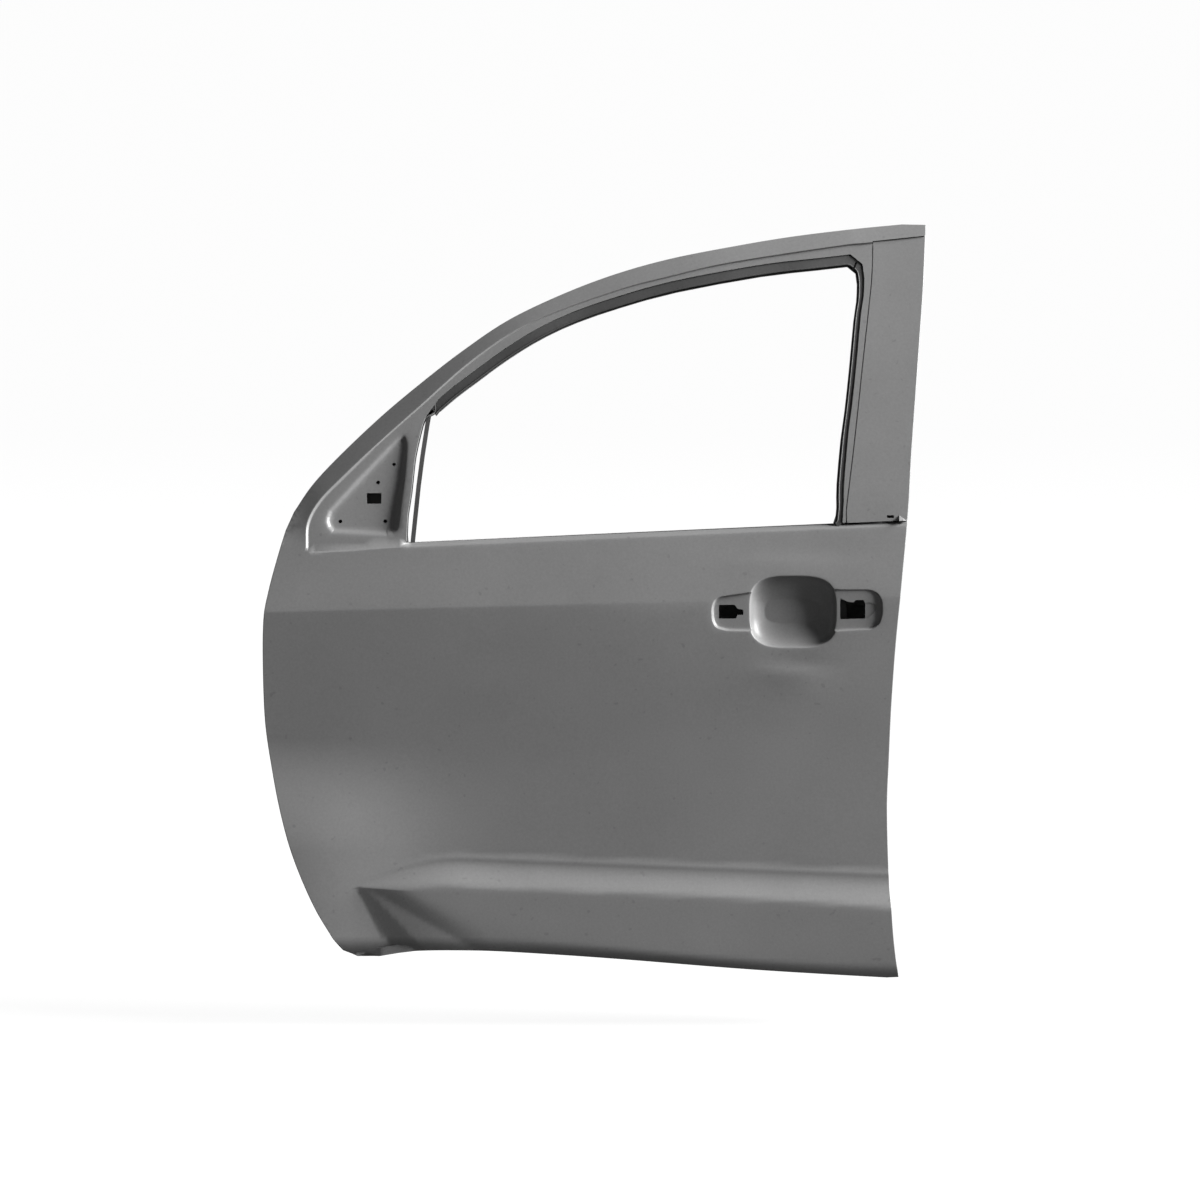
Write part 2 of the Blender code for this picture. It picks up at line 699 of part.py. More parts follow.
def handle_recess(depth):
    """The handle's cup with the flat pad on each side of it."""
    name = f"handle_recess_{depth * 1000:.2f}"
    floor = PAD_FLOOR_Y + depth
    pads = []
    for side, outline, mouth in (
        ("front", beside_cup(FRONT_PAD, -1), -0.081),
        ("rear", beside_cup(REAR_PAD, 1), -0.082),
    ):
        lip = grown(anticlockwise(outline), depth)
        foot = grown(anticlockwise(outline), depth - PAD_WALL)
        pads.append(loft(f"{name}_{side}", [at_y(lip, mouth), at_y(lip, floor - 0.006), at_y(foot, floor)]))
    mouth_y = CUP_MOUTH_Y + depth
    rings = [(CUP_HALF_LENGTH, CUP_HALF_HEIGHT, -0.080), (CUP_HALF_LENGTH, CUP_HALF_HEIGHT, mouth_y)]
    for share, length, height in CUP_SECTIONS:
        rings.append((CUP_HALF_LENGTH * length, CUP_HALF_HEIGHT * height, mouth_y + share * CUP_DEPTH))
    sections = [at_y(squircle(CUP_X, CUP_Z, a + depth, b + depth, CUP_POWER), y) for a, b, y in rings]
    return plus(loft(name, sections), *pads)


# The stampings


def hemmed_sheet(door, name, face):
    """The door's outline as a thick plate on one face, and the core that leaves a hemmed sheet of it.

    The sheet lies on the face, turns in round the outline and comes back as a hem, with a slot for the inner
    panel's flange between the two.
    """
    slot = INNER_SHEET + 2 * HEM_PLAY
    body = common(twin(face(0.0), name), door.outline_prism(0.0))
    beyond = common(twin(face(2 * SKIN_SHEET + slot), f"{name}_beyond"), door.rim(HEM_WIDTH + 0.001))
    minus(body, beyond)
    core = common(twin(face(SKIN_SHEET), f"{name}_core"), door.outline_prism(SKIN_SHEET))
    hem = common(twin(face(SKIN_SHEET + slot), f"{name}_return"), door.rim(HEM_WIDTH))
    minus(core, hem)
    return body, core


def outer_skin(door):
    """The outer stamping, with the step round the window, the mirror pocket and the handle recess."""
    body, core = hemmed_sheet(door, "outer_skin", door.under_skin)
    minus(body, pocket(0.0), handle_recess(0.0))
    minus(core, pocket(SKIN_SHEET), handle_recess(SKIN_SHEET))
    minus(body, core)
    minus(body, skin_opening(door), pillar_region("pillar_region", 0.0, SKIN_SHEET + PILLAR_SEAM, 0.0))
    for name, outline in mirror_holes():
        minus(body, prism(f"skin_{name}", outline, 0.0, 0.060))
    for name, outline in (
        ("front_handle_hole", beside_cup(FRONT_HOLE, -1)),
        ("rear_handle_hole", beside_cup(REAR_HOLE, 1)),
    ):
        minus(body, prism(name, outline, -0.040, 0.010))
    return body


def skin_opening(door):
    """The hole in the skin for the glass and its channels, open down to the belt edge."""
    top = [point for point in door.channel_outline if point[1] > 0.80 and point[0] > HEADER_CHANNEL_FRONT_X]
    top = sorted(top, key=lambda p: math.atan2(p[1] - 0.80, p[0] - 0.62))
    front = smooth_edge(SAIL_REAR)
    edge = [(x, float(belt_z(x)) + BELT_CHAMFER_RISE) for x in (SAIL_REAR_X, PILLAR_FRONT_EDGE[1][0] - 0.006)]
    return prism("skin_opening", anticlockwise(np.vstack([edge, top, front])), FAR_OUT + 0.03)


def pillar_region(name, front_in, top_up, bottom_up, far_out=FAR_OUT + 0.04):
    """The region of the rear pillar panel, with its front edge moved in and its ends moved up or down."""
    front = np.array(PILLAR_FRONT_EDGE) + (front_in, 0.0)
    top = np.array(PILLAR_TOP_EDGE) + (0.0, top_up)
    top[0, 0] += front_in
    foot = [(x, float(belt_z(x)) + BELT_CHAMFER_RISE + bottom_up) for x in (top[1, 0], front[0, 0])]
    return prism(name, anticlockwise(np.vstack([front[1:], top, foot])), far_out)


def mirror_holes():
    """Outlines of the holes in the mirror pocket's floor."""
    x0, z0, x1, z1 = MIRROR_WINDOW
    holes = [("mirror_window", np.array([(x0, z0), (x1, z0), (x1, z1), (x0, z1)]))]
    for number, (x, z) in enumerate(MIRROR_HOLES, 1):
        holes.append((f"mirror_hole_{number}", circle(x, z, MIRROR_HOLE_RADIUS)))
    holes.append(("mirror_sight_hole", circle(*MIRROR_SIGHT_HOLE, MIRROR_SIGHT_HOLE_RADIUS)))
    return holes


def rear_pillar_panel(door):
    """The flat outer panel of the rear post: hemmed at the rear, flanged at the front, lapped under the header."""
    def face(depth):
        return door.layer(STEP_DEPTH + depth)
    body, core = hemmed_sheet(door, "rear_pillar_panel", face)
    minus(body, face(PILLAR_FLANGE))
    common(body, pillar_region("pillar_panel", PILLAR_SEAM, PILLAR_LAP, PILLAR_SEAM))
    common(core, pillar_region("pillar_core", PILLAR_SEAM + SKIN_SHEET, 0.040, -0.040, FAR_OUT + 0.02))
    minus(body, core)
    (x0, z0), (x1, z1) = PILLAR_TOP_EDGE
    corner_x = door.outline[:, 0].max() - LEDGE_INSET - PILLAR_CORNER_PLAY
    corner_z = z0 + (z1 - z0) * (corner_x - x0) / (x1 - x0) - SKIN_SHEET
    minus(body, box("pillar_corner", (corner_x, FAR_OUT, corner_z), (x1, FAR_IN, 2 * z1)))
    half = (PILLAR_SLOT_LENGTH / 2, 0.02, PILLAR_SLOT_HEIGHT / 2)
    slot_z = float(belt_z(PILLAR_SLOT_X)) + PILLAR_SLOT_OVER_BELT
    middle = np.array([PILLAR_SLOT_X, float(skin_y(PILLAR_SLOT_X, slot_z)), slot_z])
    return minus(body, box("pillar_slot", middle - half, middle + half))


def trim_y(x, z):
    """Inner face of the door: upright below the belt, and a frame depth inboard of the skin above it."""
    over = z - (belt_z(x) + SHELF_RISE)
    share = np.clip(over / SHELF_SLOPE, 0.0, 1.0)
    return TRIM_Y * (1.0 - share) + (skin_y(x, z) + FRAME_DEPTH) * share


def pan(door, name, sheet):
    """The deep form of the inner panel as a solid, moved in by a sheet: its trim side, ledge and window frame."""
    far = FAR_OUT - 0.05 - sheet * LAYER_SPREAD
    spare = sheet * LAYER_SPREAD
    trim = face_solid(f"{name}_trim", lambda x, z: trim_y(x, z) - sheet, far, spare, shelf_rows)
    ledge = face_solid(f"{name}_ledge", lambda x, z: skin_y(x, z) + LEDGE_DEPTH - sheet, far - 0.01, spare)
    deep = common(prism(name, grown(door.outline, -PAN_INSET - sheet), far + 0.02), trim)
    minus(
        deep,
        box(f"{name}_hinge_face", (-1.0, far - 0.1, -1.0), (HINGE_X + HINGE_PAD_RISE + sheet, FAR_IN, 2.0)),
        box(
            f"{name}_latch_face",
            (LATCH_X - sheet, LATCH_FACE_Y - sheet, LATCH_BOTTOM_Z - sheet),
            (2.0, FAR_IN, LATCH_TOP_Z + sheet),
        ),
    )
    plus(deep, *hinge_pads(name, sheet))
    step_ledge = common(prism(f"{name}_step", grown(door.outline, -LEDGE_INSET - sheet), far + 0.015), ledge)
    minus(step_ledge, hinge_relief(name, sheet))
    plus(deep, step_ledge)
    for number, outline in enumerate(embossed_outlines(), 1):
        floor = TRIM_Y - EMBOSS_DEPTH - sheet
        minus(deep, prism(f"{name}_emboss_{number}", grown(outline, sheet), floor, FAR_IN))
    minus(deep, prism(f"{name}_window", grown(door.frame_window, sheet), far - 0.1))
    return minus(deep, channel_rebate(door, f"{name}_rebate", sheet))


def hinge_pads(name, sheet):
    """Raised flat pads on the front wall of the pan, for the hinges and the check link."""
    margin = HINGE_PAD_MARGIN + INNER_SHEET - sheet
    width = HINGE_PLATE_WIDTH + 2 * margin
    pads = []
    for z, height in (
        (UPPER_HINGE_Z, HINGE_PLATE_HEIGHT), (LOWER_HINGE_Z, HINGE_PLATE_HEIGHT), (CHECK_LINK_Z, CHECK_PLATE_HEIGHT),
    ):
        outline = rounded(HINGE_Y, z, width, height + 2 * margin, 0.008)
        pads.append(bar_x(f"{name}_pad_{z * 1000:.0f}", outline, HINGE_X + sheet, HINGE_X + 0.010))
    return pads


def hinge_relief(name, sheet):
    """The room that the ledge leaves in front of the upper hinge's pad, which reaches up past the ledge."""
    clear = HINGE_PAD_MARGIN + INNER_SHEET + HINGE_RELIEF + sheet
    low = (-1.0, HINGE_Y - HINGE_PLATE_WIDTH / 2 - clear, UPPER_HINGE_Z - HINGE_PLATE_HEIGHT / 2 - clear)
    high = (HINGE_X + HINGE_PAD_RISE + sheet, FAR_IN + 0.1, UPPER_HINGE_Z + HINGE_PLATE_HEIGHT / 2 + clear)
    return box(f"{name}_hinge_relief", low, high)


def shelf_rows(x):
    """Heights at which the inner face is cut, with the two edges of the shelf at the belt."""
    shelf = float(belt_z(x)) + SHELF_RISE
    return sorted([*rows_at(x), shelf, shelf + SHELF_SLOPE])


def embossed_outlines():
    """Outlines of the recessed fields round the openings of the inner panel."""
    return [
        grown(anticlockwise(SERVICE_HOLE), SERVICE_MARGIN),
        grown(anticlockwise(REAR_HOLE_INNER), SERVICE_MARGIN),
        circle(SPEAKER_X, SPEAKER_Z, SPEAKER_RADIUS + SPEAKER_MARGIN, CUP_SIDES),
    ]


def above_window_edge(name, lift=0.0):
    """All above the lower edge of the window opening and behind the front end of the header's channel."""
    low = [(x, float(belt_z(x)) + WINDOW_OVER_BELT + lift) for x in (HEADER_CHANNEL_FRONT_X + lift, 1.30)]
    return prism(name, np.vstack([low, [(1.30, 1.60), (HEADER_CHANNEL_FRONT_X + lift, 1.60)]]), FAR_OUT - 0.3)


def channel_rebate(door, name, sheet):
    """The space that the inner panel's frame leaves for the glass channels."""
    outline = grown(door.channel_outline, sheet)
    space = minus(prism(name, outline, FAR_OUT - 0.2, FAR_IN / 2), door.layer(REBATE_DEPTH + sheet))
    return common(space, above_window_edge(f"{name}_limit", -sheet))


def inner_panel(door):
    """The inner stamping: a flange in the skin's hem, a sealing ledge, the pan and the window frame."""
    under = SKIN_SHEET + GAP
    flange = prism("inner_panel", grown(door.outline, -SKIN_SHEET - EDGE_PLAY), FAR_OUT - 0.1, FAR_IN / 2)
    minus(flange, door.under_skin(under + INNER_SHEET))
    minus(flange, prism("flange_window", door.frame_window, FAR_OUT - 0.2))
    minus(flange, channel_rebate(door, "flange_rebate", 0.0))
    plus(flange, pan(door, "pan_outside", 0.0))
    minus(flange, pan(door, "pan_inside", INNER_SHEET))
    common(flange, door.under_skin(under))
    minus(flange, glass_slot(), *inner_openings(), *front_wall_holes(), *latch_holes())
    return flange


def glass_slot():
    """The slot at the belt through which the glass would drop, outboard of the inner shelf."""
    ends = (SAIL_REAR_X + 2 * INNER_SHEET, GLASS_SLOT_REAR_X)
    low = [(x, float(belt_z(x)) - GLASS_SLOT_DEPTH) for x in ends]
    high = [(x, float(belt_z(x)) + WINDOW_OVER_BELT + GAP) for x in ends[::-1]]
    return prism("glass_slot", np.array(low + high), FAR_OUT - 0.05, GLASS_SLOT_Y)


def inner_openings():
    """Service, speaker, clip and drain openings of the inner panel."""
    low, high = TRIM_Y - 0.030, TRIM_Y + 0.030
    tools = [
        prism("service_hole", anticlockwise(SERVICE_HOLE), low, high),
        prism("rear_service_hole", anticlockwise(REAR_HOLE_INNER), low, high),
        prism("speaker_hole", circle(SPEAKER_X, SPEAKER_Z, SPEAKER_RADIUS, CUP_SIDES), low, high),
    ]
    for number, (x, z) in enumerate(CLIP_HOLES, 1):
        tools.append(prism(f"clip_hole_{number}", circle(x, z, CLIP_HOLE_RADIUS, 8), low, high))
    for number, x in enumerate(DRAIN_HOLES_X, 1):
        corner = (x - DRAIN_LENGTH / 2, DRAIN_Y, -0.010)
        tools.append(box(f"drain_{number}", corner, (x + DRAIN_LENGTH / 2, DRAIN_Y + DRAIN_WIDTH, 0.110)))
    return tools


def hinge_bolts(z):
    return [(HINGE_Y, z - HINGE_BOLT_SPACING / 2), (HINGE_Y, z + HINGE_BOLT_SPACING / 2)]


def check_bolts():
    return [(HINGE_Y, CHECK_LINK_Z - CHECK_BOLT_SPACING / 2), (HINGE_Y, CHECK_LINK_Z + CHECK_BOLT_SPACING / 2)]


def front_wall_holes():
    """Cutters through the hinge face."""
    low, high = HINGE_X - 0.010, HINGE_X + 0.012
    tools = []
    for side, z in (("upper", UPPER_HINGE_Z), ("lower", LOWER_HINGE_Z)):
        for number, (y, place) in enumerate(hinge_bolts(z), 1):
            tools.append(rod_x(f"{side}_bolt_hole_{number}", y, place, HINGE_BOLT_HOLE, low, high))
    for number, (y, place) in enumerate(check_bolts(), 1):
        tools.append(rod_x(f"check_bolt_hole_{number}", y, place, CHECK_BOLT_HOLE, low, high, 8))
    slot = rounded(HINGE_Y, CHECK_LINK_Z, CHECK_SLOT_WIDTH, CHECK_SLOT_HEIGHT, 0.003)
    tools.append(bar_x("check_slot", slot, low, high))
    tools.append(rod_x("grommet_hole", HINGE_Y, GROMMET_Z, GROMMET_RADIUS, low, high, 16))
    return tools


def latch_holes():
    """Cutters for the latch's mouth and screws, through the latch face and the plate behind it."""
    low, high = LATCH_X - 0.012, LATCH_X + 0.006
    mouth = box(
        "latch_mouth",
        (low, LATCH_MOUTH_Y, LATCH_Z - LATCH_MOUTH_HEIGHT / 2),
        (high, TRIM_Y + 0.010, LATCH_Z + LATCH_MOUTH_HEIGHT / 2),
    )
    screws = [
        rod_x(f"latch_screw_{number}", y, z, LATCH_SCREW_HOLE, low, high, 8)
        for number, (y, z) in enumerate(LATCH_SCREWS, 1)
    ]
    return [mouth, *screws]


# Glass channels


def run_channels(door):
    """The rolled channel round the glass, in two lengths that meet in a mitre at the upper rear corner."""
    near, far = CHANNEL_SET_BACK, CHANNEL_SET_BACK + CHANNEL_WIDTH
    outer = prism("run_channel", grown(door.channel_outline, -CHANNEL_GAP), FAR_OUT - 0.1)
    minus(outer, prism("run_channel_window", door.window, FAR_OUT - 0.2, FAR_IN + 0.3))
    common(outer, door.layer(near))
    minus(outer, door.layer(far))
    void = prism("run_channel_void", grown(door.channel_outline, -CHANNEL_GAP - CHANNEL_SHEET), FAR_OUT - 0.1)
    common(void, door.layer(near + CHANNEL_SHEET))
    minus(void, door.layer(far - CHANNEL_SHEET))
    minus(outer, void)
    common(outer, above_window_edge("run_channel_limit", GAP))
    corner = np.array(WINDOW_CORNER).mean(axis=0)
    ahead = np.array([1.0, 1.0]) * 0.10
    above = [corner - ahead, corner + ahead, (corner[0] + 0.1, 1.6), (0.0, 1.6), (0.0, 0.9), (0.60, 0.9)]
    split = anticlockwise(above)
    rear = minus(twin(outer, "rear_run_channel"), prism("rear_split", split - (0, CHANNEL_MITRE), FAR_OUT - 0.25))
    header = common(twin(outer, "header_run_channel"), prism("header_split", split, FAR_OUT - 0.2))
    return header, rear


def channel_y(x, z):
    """Outboard face of the straight channels: close behind the skin's frame, and deeper inside the door."""
    share = step((z - belt_z(x) + 0.120) / 0.100)
    return skin_y(x, z) + UPPER_CHANNEL_FROM_SKIN * share + LOWER_CHANNEL_FROM_SKIN * (1.0 - share)


def straight_channel(name, path, depth, side):
    """A U section along a path, open to the rear for side 1 and to the front for side -1."""
    s, width = CHANNEL_SHEET, CHANNEL_WIDTH
    section = [
        (-depth, 0), (0, 0), (0, s), (-depth + s, s), (-depth + s, width - s), (0, width - s), (0, width),
        (-depth, width),
    ]
    sections = []
    for x, z in path:
        y = float(channel_y(x, z))
        sections.append([(x + side * dx, y + dy, z) for dx, dy in section])
    return loft(name, sections)


def division_channel(door):
    """The slim channel at the front of the glass, from the header down into the door."""
    channel = straight_channel("division_channel", DIVISION_PATH, DIVISION_LIP, 1)
    inside = prism("division_limit", grown(door.frame_window, -CHANNEL_GAP), FAR_OUT)
    low_z = min(z for x, z in DIVISION_PATH)
    edge = float(belt_z(WINDOW_FRONT_X)) + 2 * WINDOW_OVER_BELT
    plus(inside, box("division_limit_low", (0.0, -0.2, low_z - 0.1), (0.5, 0.2, edge)))
    return common(channel, inside)


def rear_lower_channel():
    """The bare channel that carries the rear run on into the door."""
    top_x = LOWER_CHANNEL_PATH[-1][0]
    top = (top_x, float(belt_z(top_x)) + BELT_CHAMFER_RISE)
    return straight_channel("rear_lower_channel", (*LOWER_CHANNEL_PATH[:-1], top), LOWER_CHANNEL_DEPTH, -1)


# Reinforcements and small pieces


def rounded(x, z, width, height, radius, steps=3):
    """A rectangle with rounded corners, as an outline."""
    points = []
    for corner in range(4):
        turn = corner * math.pi / 2
        sx, sz = (1, 1, -1, -1)[corner], (-1, 1, 1, -1)[corner]
        cx, cz = x + sx * (width / 2 - radius), z + sz * (height / 2 - radius)
        for i in range(steps + 1):
            angle = turn - math.pi / 2 + i * math.pi / 2 / steps
            points.append((cx + radius * math.cos(angle), cz + radius * math.sin(angle)))
    return np.array(points)


def hinge_reinforcement(name, z):
    """A thick tapping plate behind the hinge face."""
    near = HINGE_X + INNER_SHEET + GAP
    plate = bar_x(name, rounded(HINGE_Y, z, HINGE_PLATE_WIDTH, HINGE_PLATE_HEIGHT, 0.008), near, near + HINGE_PLATE)
    for number, (y, place) in enumerate(hinge_bolts(z), 1):
        minus(plate, rod_x(f"{name}_hole_{number}", y, place, HINGE_BOLT_HOLE, near - 0.01, near + 0.02))
    return plate


def hexagon(y, z, flats):
    return circle(y, z, flats / math.sqrt(3), 6)


def hinge_nut(name, y, z):
    """A weld nut on the back of a hinge plate."""
    near = HINGE_X + INNER_SHEET + HINGE_PLATE + 2 * GAP
    nut = bar_x(name, hexagon(y, z, NUT_FLATS), near, near + NUT_HEIGHT)
    return minus(nut, rod_x(f"{name}_bore", y, z, NUT_BORE, near - 0.01, near + 0.02, 8))


def check_link_reinforcement():
    near = HINGE_X + INNER_SHEET + GAP
    outline = rounded(HINGE_Y, CHECK_LINK_Z, HINGE_PLATE_WIDTH, CHECK_PLATE_HEIGHT, 0.006)
    plate = bar_x("check_link_reinforcement", outline, near, near + BRACKET_SHEET)
    slot = rounded(HINGE_Y, CHECK_LINK_Z, CHECK_SLOT_WIDTH, CHECK_SLOT_HEIGHT, 0.003)
    minus(plate, bar_x("check_plate_slot", slot, near - 0.01, near + 0.01))
    for number, (y, z) in enumerate(check_bolts(), 1):
        minus(plate, rod_x(f"check_plate_hole_{number}", y, z, CHECK_BOLT_HOLE, near - 0.01, near + 0.01, 8))
    return plate


def latch_reinforcement():
    """A plate behind the latch face, cut away for the latch's mouth."""
    near = LATCH_X - INNER_SHEET - GAP
    y_low = LATCH_FACE_Y + INNER_SHEET
    y_high = TRIM_Y - INNER_SHEET - GAP
    outline = rounded((y_low + y_high) / 2, LATCH_Z, y_high - y_low, LATCH_PLATE_HEIGHT, 0.006)
    plate = bar_x("latch_reinforcement", outline, near - BRACKET_SHEET, near)
    return minus(plate, *latch_holes())


def mirror_reinforcement():
    """A plate behind the mirror pocket's floor, with the floor's holes."""
    outline = grown(anticlockwise(POCKET_OUTLINE), -POCKET_WALL / 2)
    near = pocket_floor_y(outline[:, 1]) + SKIN_SHEET + GAP
    plate = loft("mirror_reinforcement", [at_y(outline, near), at_y(outline, near + BRACKET_SHEET)])
    for name, hole in mirror_holes():
        minus(plate, prism(f"plate_{name}", hole, 0.0, 0.090))
    return plate


def mirror_nut(name, x, z):
    """A weld nut behind the mirror plate, flat on the leaning plate."""
    outline = hexagon(x, z, MIRROR_NUT_FLATS)
    near = pocket_floor_y(outline[:, 1]) + SKIN_SHEET + BRACKET_SHEET + 2 * GAP
    nut = loft(name, [at_y(outline, near), at_y(outline, near + MIRROR_NUT_HEIGHT)])
    return minus(nut, prism(f"{name}_bore", circle(x, z, MIRROR_HOLE_RADIUS, 8), 0.0, 0.090))


def handle_bracket(name, x_from, x_to, z_low, z_high, hole):
    """A stamped plate behind a handle pad, with its upper and lower edges turned inboard."""
    near = PAD_FLOOR_Y + SKIN_SHEET + GAP
    s, flange = BRACKET_SHEET, HANDLE_BRACKET_FLANGE
    section = [
        (near, z_low), (near + flange, z_low), (near + flange, z_low + s), (near + s, z_low + s),
        (near + s, z_high - s), (near + flange, z_high - s), (near + flange, z_high), (near, z_high),
    ]
    bracket = bar_x(name, section, x_from, x_to)
    return minus(bracket, prism(f"{name}_hole", hole, near - 0.01, near + 0.02))


def belt_hat(name, x_from, x_to, face_y, side):
    """A hat section along the belt: two flanges on the sheet's face and a web that stands off it."""
    h, d, f, top = BELT_HAT_HEIGHT, BELT_HAT_DEPTH, BELT_HAT_FLANGE, -BELT_HAT_TOP
    path = [(0, top), (0, top - f), (d, top - f - d / 2), (d, top - h + f + d / 2), (0, top - h + f), (0, top - h)]
    sections = []
    for x in np.linspace(x_from, x_to, 6):
        belt = float(belt_z(x))
        near = [(x, face_y(x, belt + dz) + side * dy, belt + dz) for dy, dz in path]
        back = [(x, y + side * BRACKET_SHEET, z) for x, y, z in near[::-1]]
        sections.append(near + back)
    return loft(name, sections)


def outer_belt_reinforcement():
    def face(x, z):
        return float(skin_y(x, z)) + SKIN_SHEET + GAP
    return belt_hat("outer_belt_reinforcement", OUTER_HAT_FRONT_X, OUTER_HAT_REAR_X, face, 1)


def inner_belt_reinforcement():
    def face(x, z):
        return TRIM_Y - INNER_SHEET - GAP
    return belt_hat("inner_belt_reinforcement", INNER_HAT_FRONT_X, INNER_HAT_REAR_X, face, -1)


def beam_point(x):
    """The middle of the impact beam at a place along the door."""
    ends = []
    for end_x, end_z in ((BEAM_FRONT_X, BEAM_FRONT_Z), (BEAM_REAR_X, BEAM_REAR_Z)):
        ends.append(np.array([end_x, float(skin_y(end_x, end_z)) + SKIN_SHEET + BEAM_FROM_SKIN, end_z]))
    share = (x - ends[0][0]) / (ends[1][0] - ends[0][0])
    return ends[0] + (ends[1] - ends[0]) * share


def impact_beam():
    """A straight tube across the door, a little lower at the rear."""
    def tube(name, radius, overrun):
        rings = []
        for x in (BEAM_FRONT_X - overrun, BEAM_REAR_X + overrun):
            centre = beam_point(x)
            ring = circle(centre[1], centre[2], radius, 16)
            rings.append(np.column_stack([np.full(len(ring), x), ring]))
        return loft(name, rings)
    return minus(tube("impact_beam", BEAM_RADIUS, 0.0), tube("beam_bore", BEAM_RADIUS - BEAM_WALL, 0.01))


def beam_bracket(name, wall_x, side):
    """A saddle that cups the beam's end from inboard, with a flange on the panel's end wall."""
    inner = BEAM_RADIUS + GAP
    outer = inner + BRACKET_SHEET
    angles = np.linspace(-math.pi / 2, math.pi / 2, 9)
    flange = BEAM_BRACKET_FLANGE
    near = [(0.0, -inner - flange)]
    near += [(inner * math.cos(a), inner * math.sin(a)) for a in angles]
    near += [(0.0, inner + flange)]
    back = [(BRACKET_SHEET, outer + flange)]
    back += [(outer * math.cos(a), outer * math.sin(a)) for a in angles[::-1][1:-1]]
    back += [(BRACKET_SHEET, -outer - flange)]
    sections = []
    for x in (wall_x, wall_x + side * BEAM_BRACKET_LENGTH):
        centre = beam_point(x)
        sections.append([(x, centre[1] + dy, centre[2] + dz) for dy, dz in near + back])
    saddle = loft(name, sections)
    centre = beam_point(wall_x)
    plate = rounded(centre[1] + BRACKET_PLATE_WIDTH / 2, centre[2], BRACKET_PLATE_WIDTH, BRACKET_PLATE_HEIGHT, 0.005)
    return plus(saddle, bar_x(f"{name}_plate", plate, wall_x, wall_x + side * BRACKET_SHEET))


def mastic_pad(name, x):
    """A bead of mastic between the beam and the skin, which stops the skin from drumming."""
    centre = beam_point(x)
    outline = squircle(x, centre[2], MASTIC_RADIUS, MASTIC_RADIUS * 0.7, 2.4, 12)
    near = skin_y(outline[:, 0], outline[:, 1]) + SKIN_SHEET + GAP
    far = centre[1] - BEAM_RADIUS - GAP
    return loft(name, [at_y(outline, near), at_y(grown(outline, -0.003), far)])


# The whole door


def material_of(name, colour, roughness, metallic):
    """A Principled material, made once for each name."""
    found = bpy.data.materials.get(name)
    if found:
        return found
    material = bpy.data.materials.new(name)
    material.use_nodes = True
    shader = material.node_tree.nodes["Principled BSDF"]
    shader.inputs["Base Color"].default_value = (*colour, 1.0)
    shader.inputs["Roughness"].default_value = roughness
    shader.inputs["Metallic"].default_value = metallic
    material.diffuse_color = (*colour, 1.0)
    return material


def place(piece, name, material, frame):
    """Turns a finished solid into one of the door's parts."""
    bpy.data.collections[CUTTERS].objects.unlink(piece)
    bpy.data.collections[PARTS].objects.link(piece)
    piece.name = name
    piece.hide_render = False
    piece.display_type = "TEXTURED"
    piece.parent = frame
    piece.data.materials.clear()
    piece.data.materials.append(material)
    for polygon in piece.data.polygons:
        polygon.material_index = 0
    piece.data.shade_smooth()
    piece.data.set_sharp_from_angle(angle=math.radians(30))


def build_parts(door):
    """Every part of the door as (solid, name, finish)."""
    yield outer_skin(door), "outer_skin", "primer"
    yield rear_pillar_panel(door), "rear_pillar_panel", "primer"
    yield inner_panel(door), "inner_panel", "primer"
    header, rear = run_channels(door)
    yield header, "header_run_channel", "dark_primer"
    yield rear, "rear_run_channel", "dark_primer"
    yield division_channel(door), "division_channel", "dark_primer"
    yield rear_lower_channel(), "rear_lower_channel", "dark_primer"
    yield mirror_reinforcement(), "mirror_reinforcement", "primer"
    for side, z in (("upper", UPPER_HINGE_Z), ("lower", LOWER_HINGE_Z)):
        yield hinge_reinforcement(f"{side}_hinge_reinforcement", z), f"{side}_hinge_reinforcement", "primer"
        for number, (y, bolt_z) in enumerate(hinge_bolts(z), 1):
            name = f"{side}_hinge_nut_{number}"
            yield hinge_nut(name, y, bolt_z), name, "zinc"
    yield check_link_reinforcement(), "check_link_reinforcement", "primer"
    yield latch_reinforcement(), "latch_reinforcement", "primer"
    for number, (x, z) in enumerate(MIRROR_HOLES, 1):
        yield mirror_nut(f"mirror_nut_{number}", x, z), f"mirror_nut_{number}", "zinc"
    cup_front, cup_rear = CUP_X - CUP_HALF_LENGTH, CUP_X + CUP_HALF_LENGTH
    front_end = cup_front + min(x for x, z in FRONT_PAD)
    clear = SKIN_SHEET + 4 * GAP
    yield handle_bracket(
        "front_handle_bracket", front_end, cup_front - clear, *HANDLE_BRACKET_Z, anticlockwise(beside_cup(FRONT_HOLE, -1))
    ), "front_handle_bracket", "primer"
    rear_hole = beside_cup(rounded(*REAR_BRACKET_HOLE), 1)
    yield handle_bracket(
        "rear_handle_bracket", cup_rear + clear, cup_rear + REAR_BRACKET_END, *HANDLE_BRACKET_Z, rear_hole
    ), "rear_handle_bracket", "primer"
    yield outer_belt_reinforcement(), "outer_belt_reinforcement", "primer"
    yield inner_belt_reinforcement(), "inner_belt_reinforcement", "primer"
    yield impact_beam(), "impact_beam", "primer"
    wall_x = HINGE_X + HINGE_PAD_RISE + INNER_SHEET + GAP
    yield beam_bracket("beam_front_bracket", wall_x, 1), "beam_front_bracket", "primer"
    yield beam_bracket("beam_rear_bracket", BEAM_REAR_WALL_X, -1), "beam_rear_bracket", "primer"
    for number, x in enumerate(MASTIC_PLACES, 1):
        yield mastic_pad(f"mastic_pad_{number}", x), f"mastic_pad_{number}", "mastic"


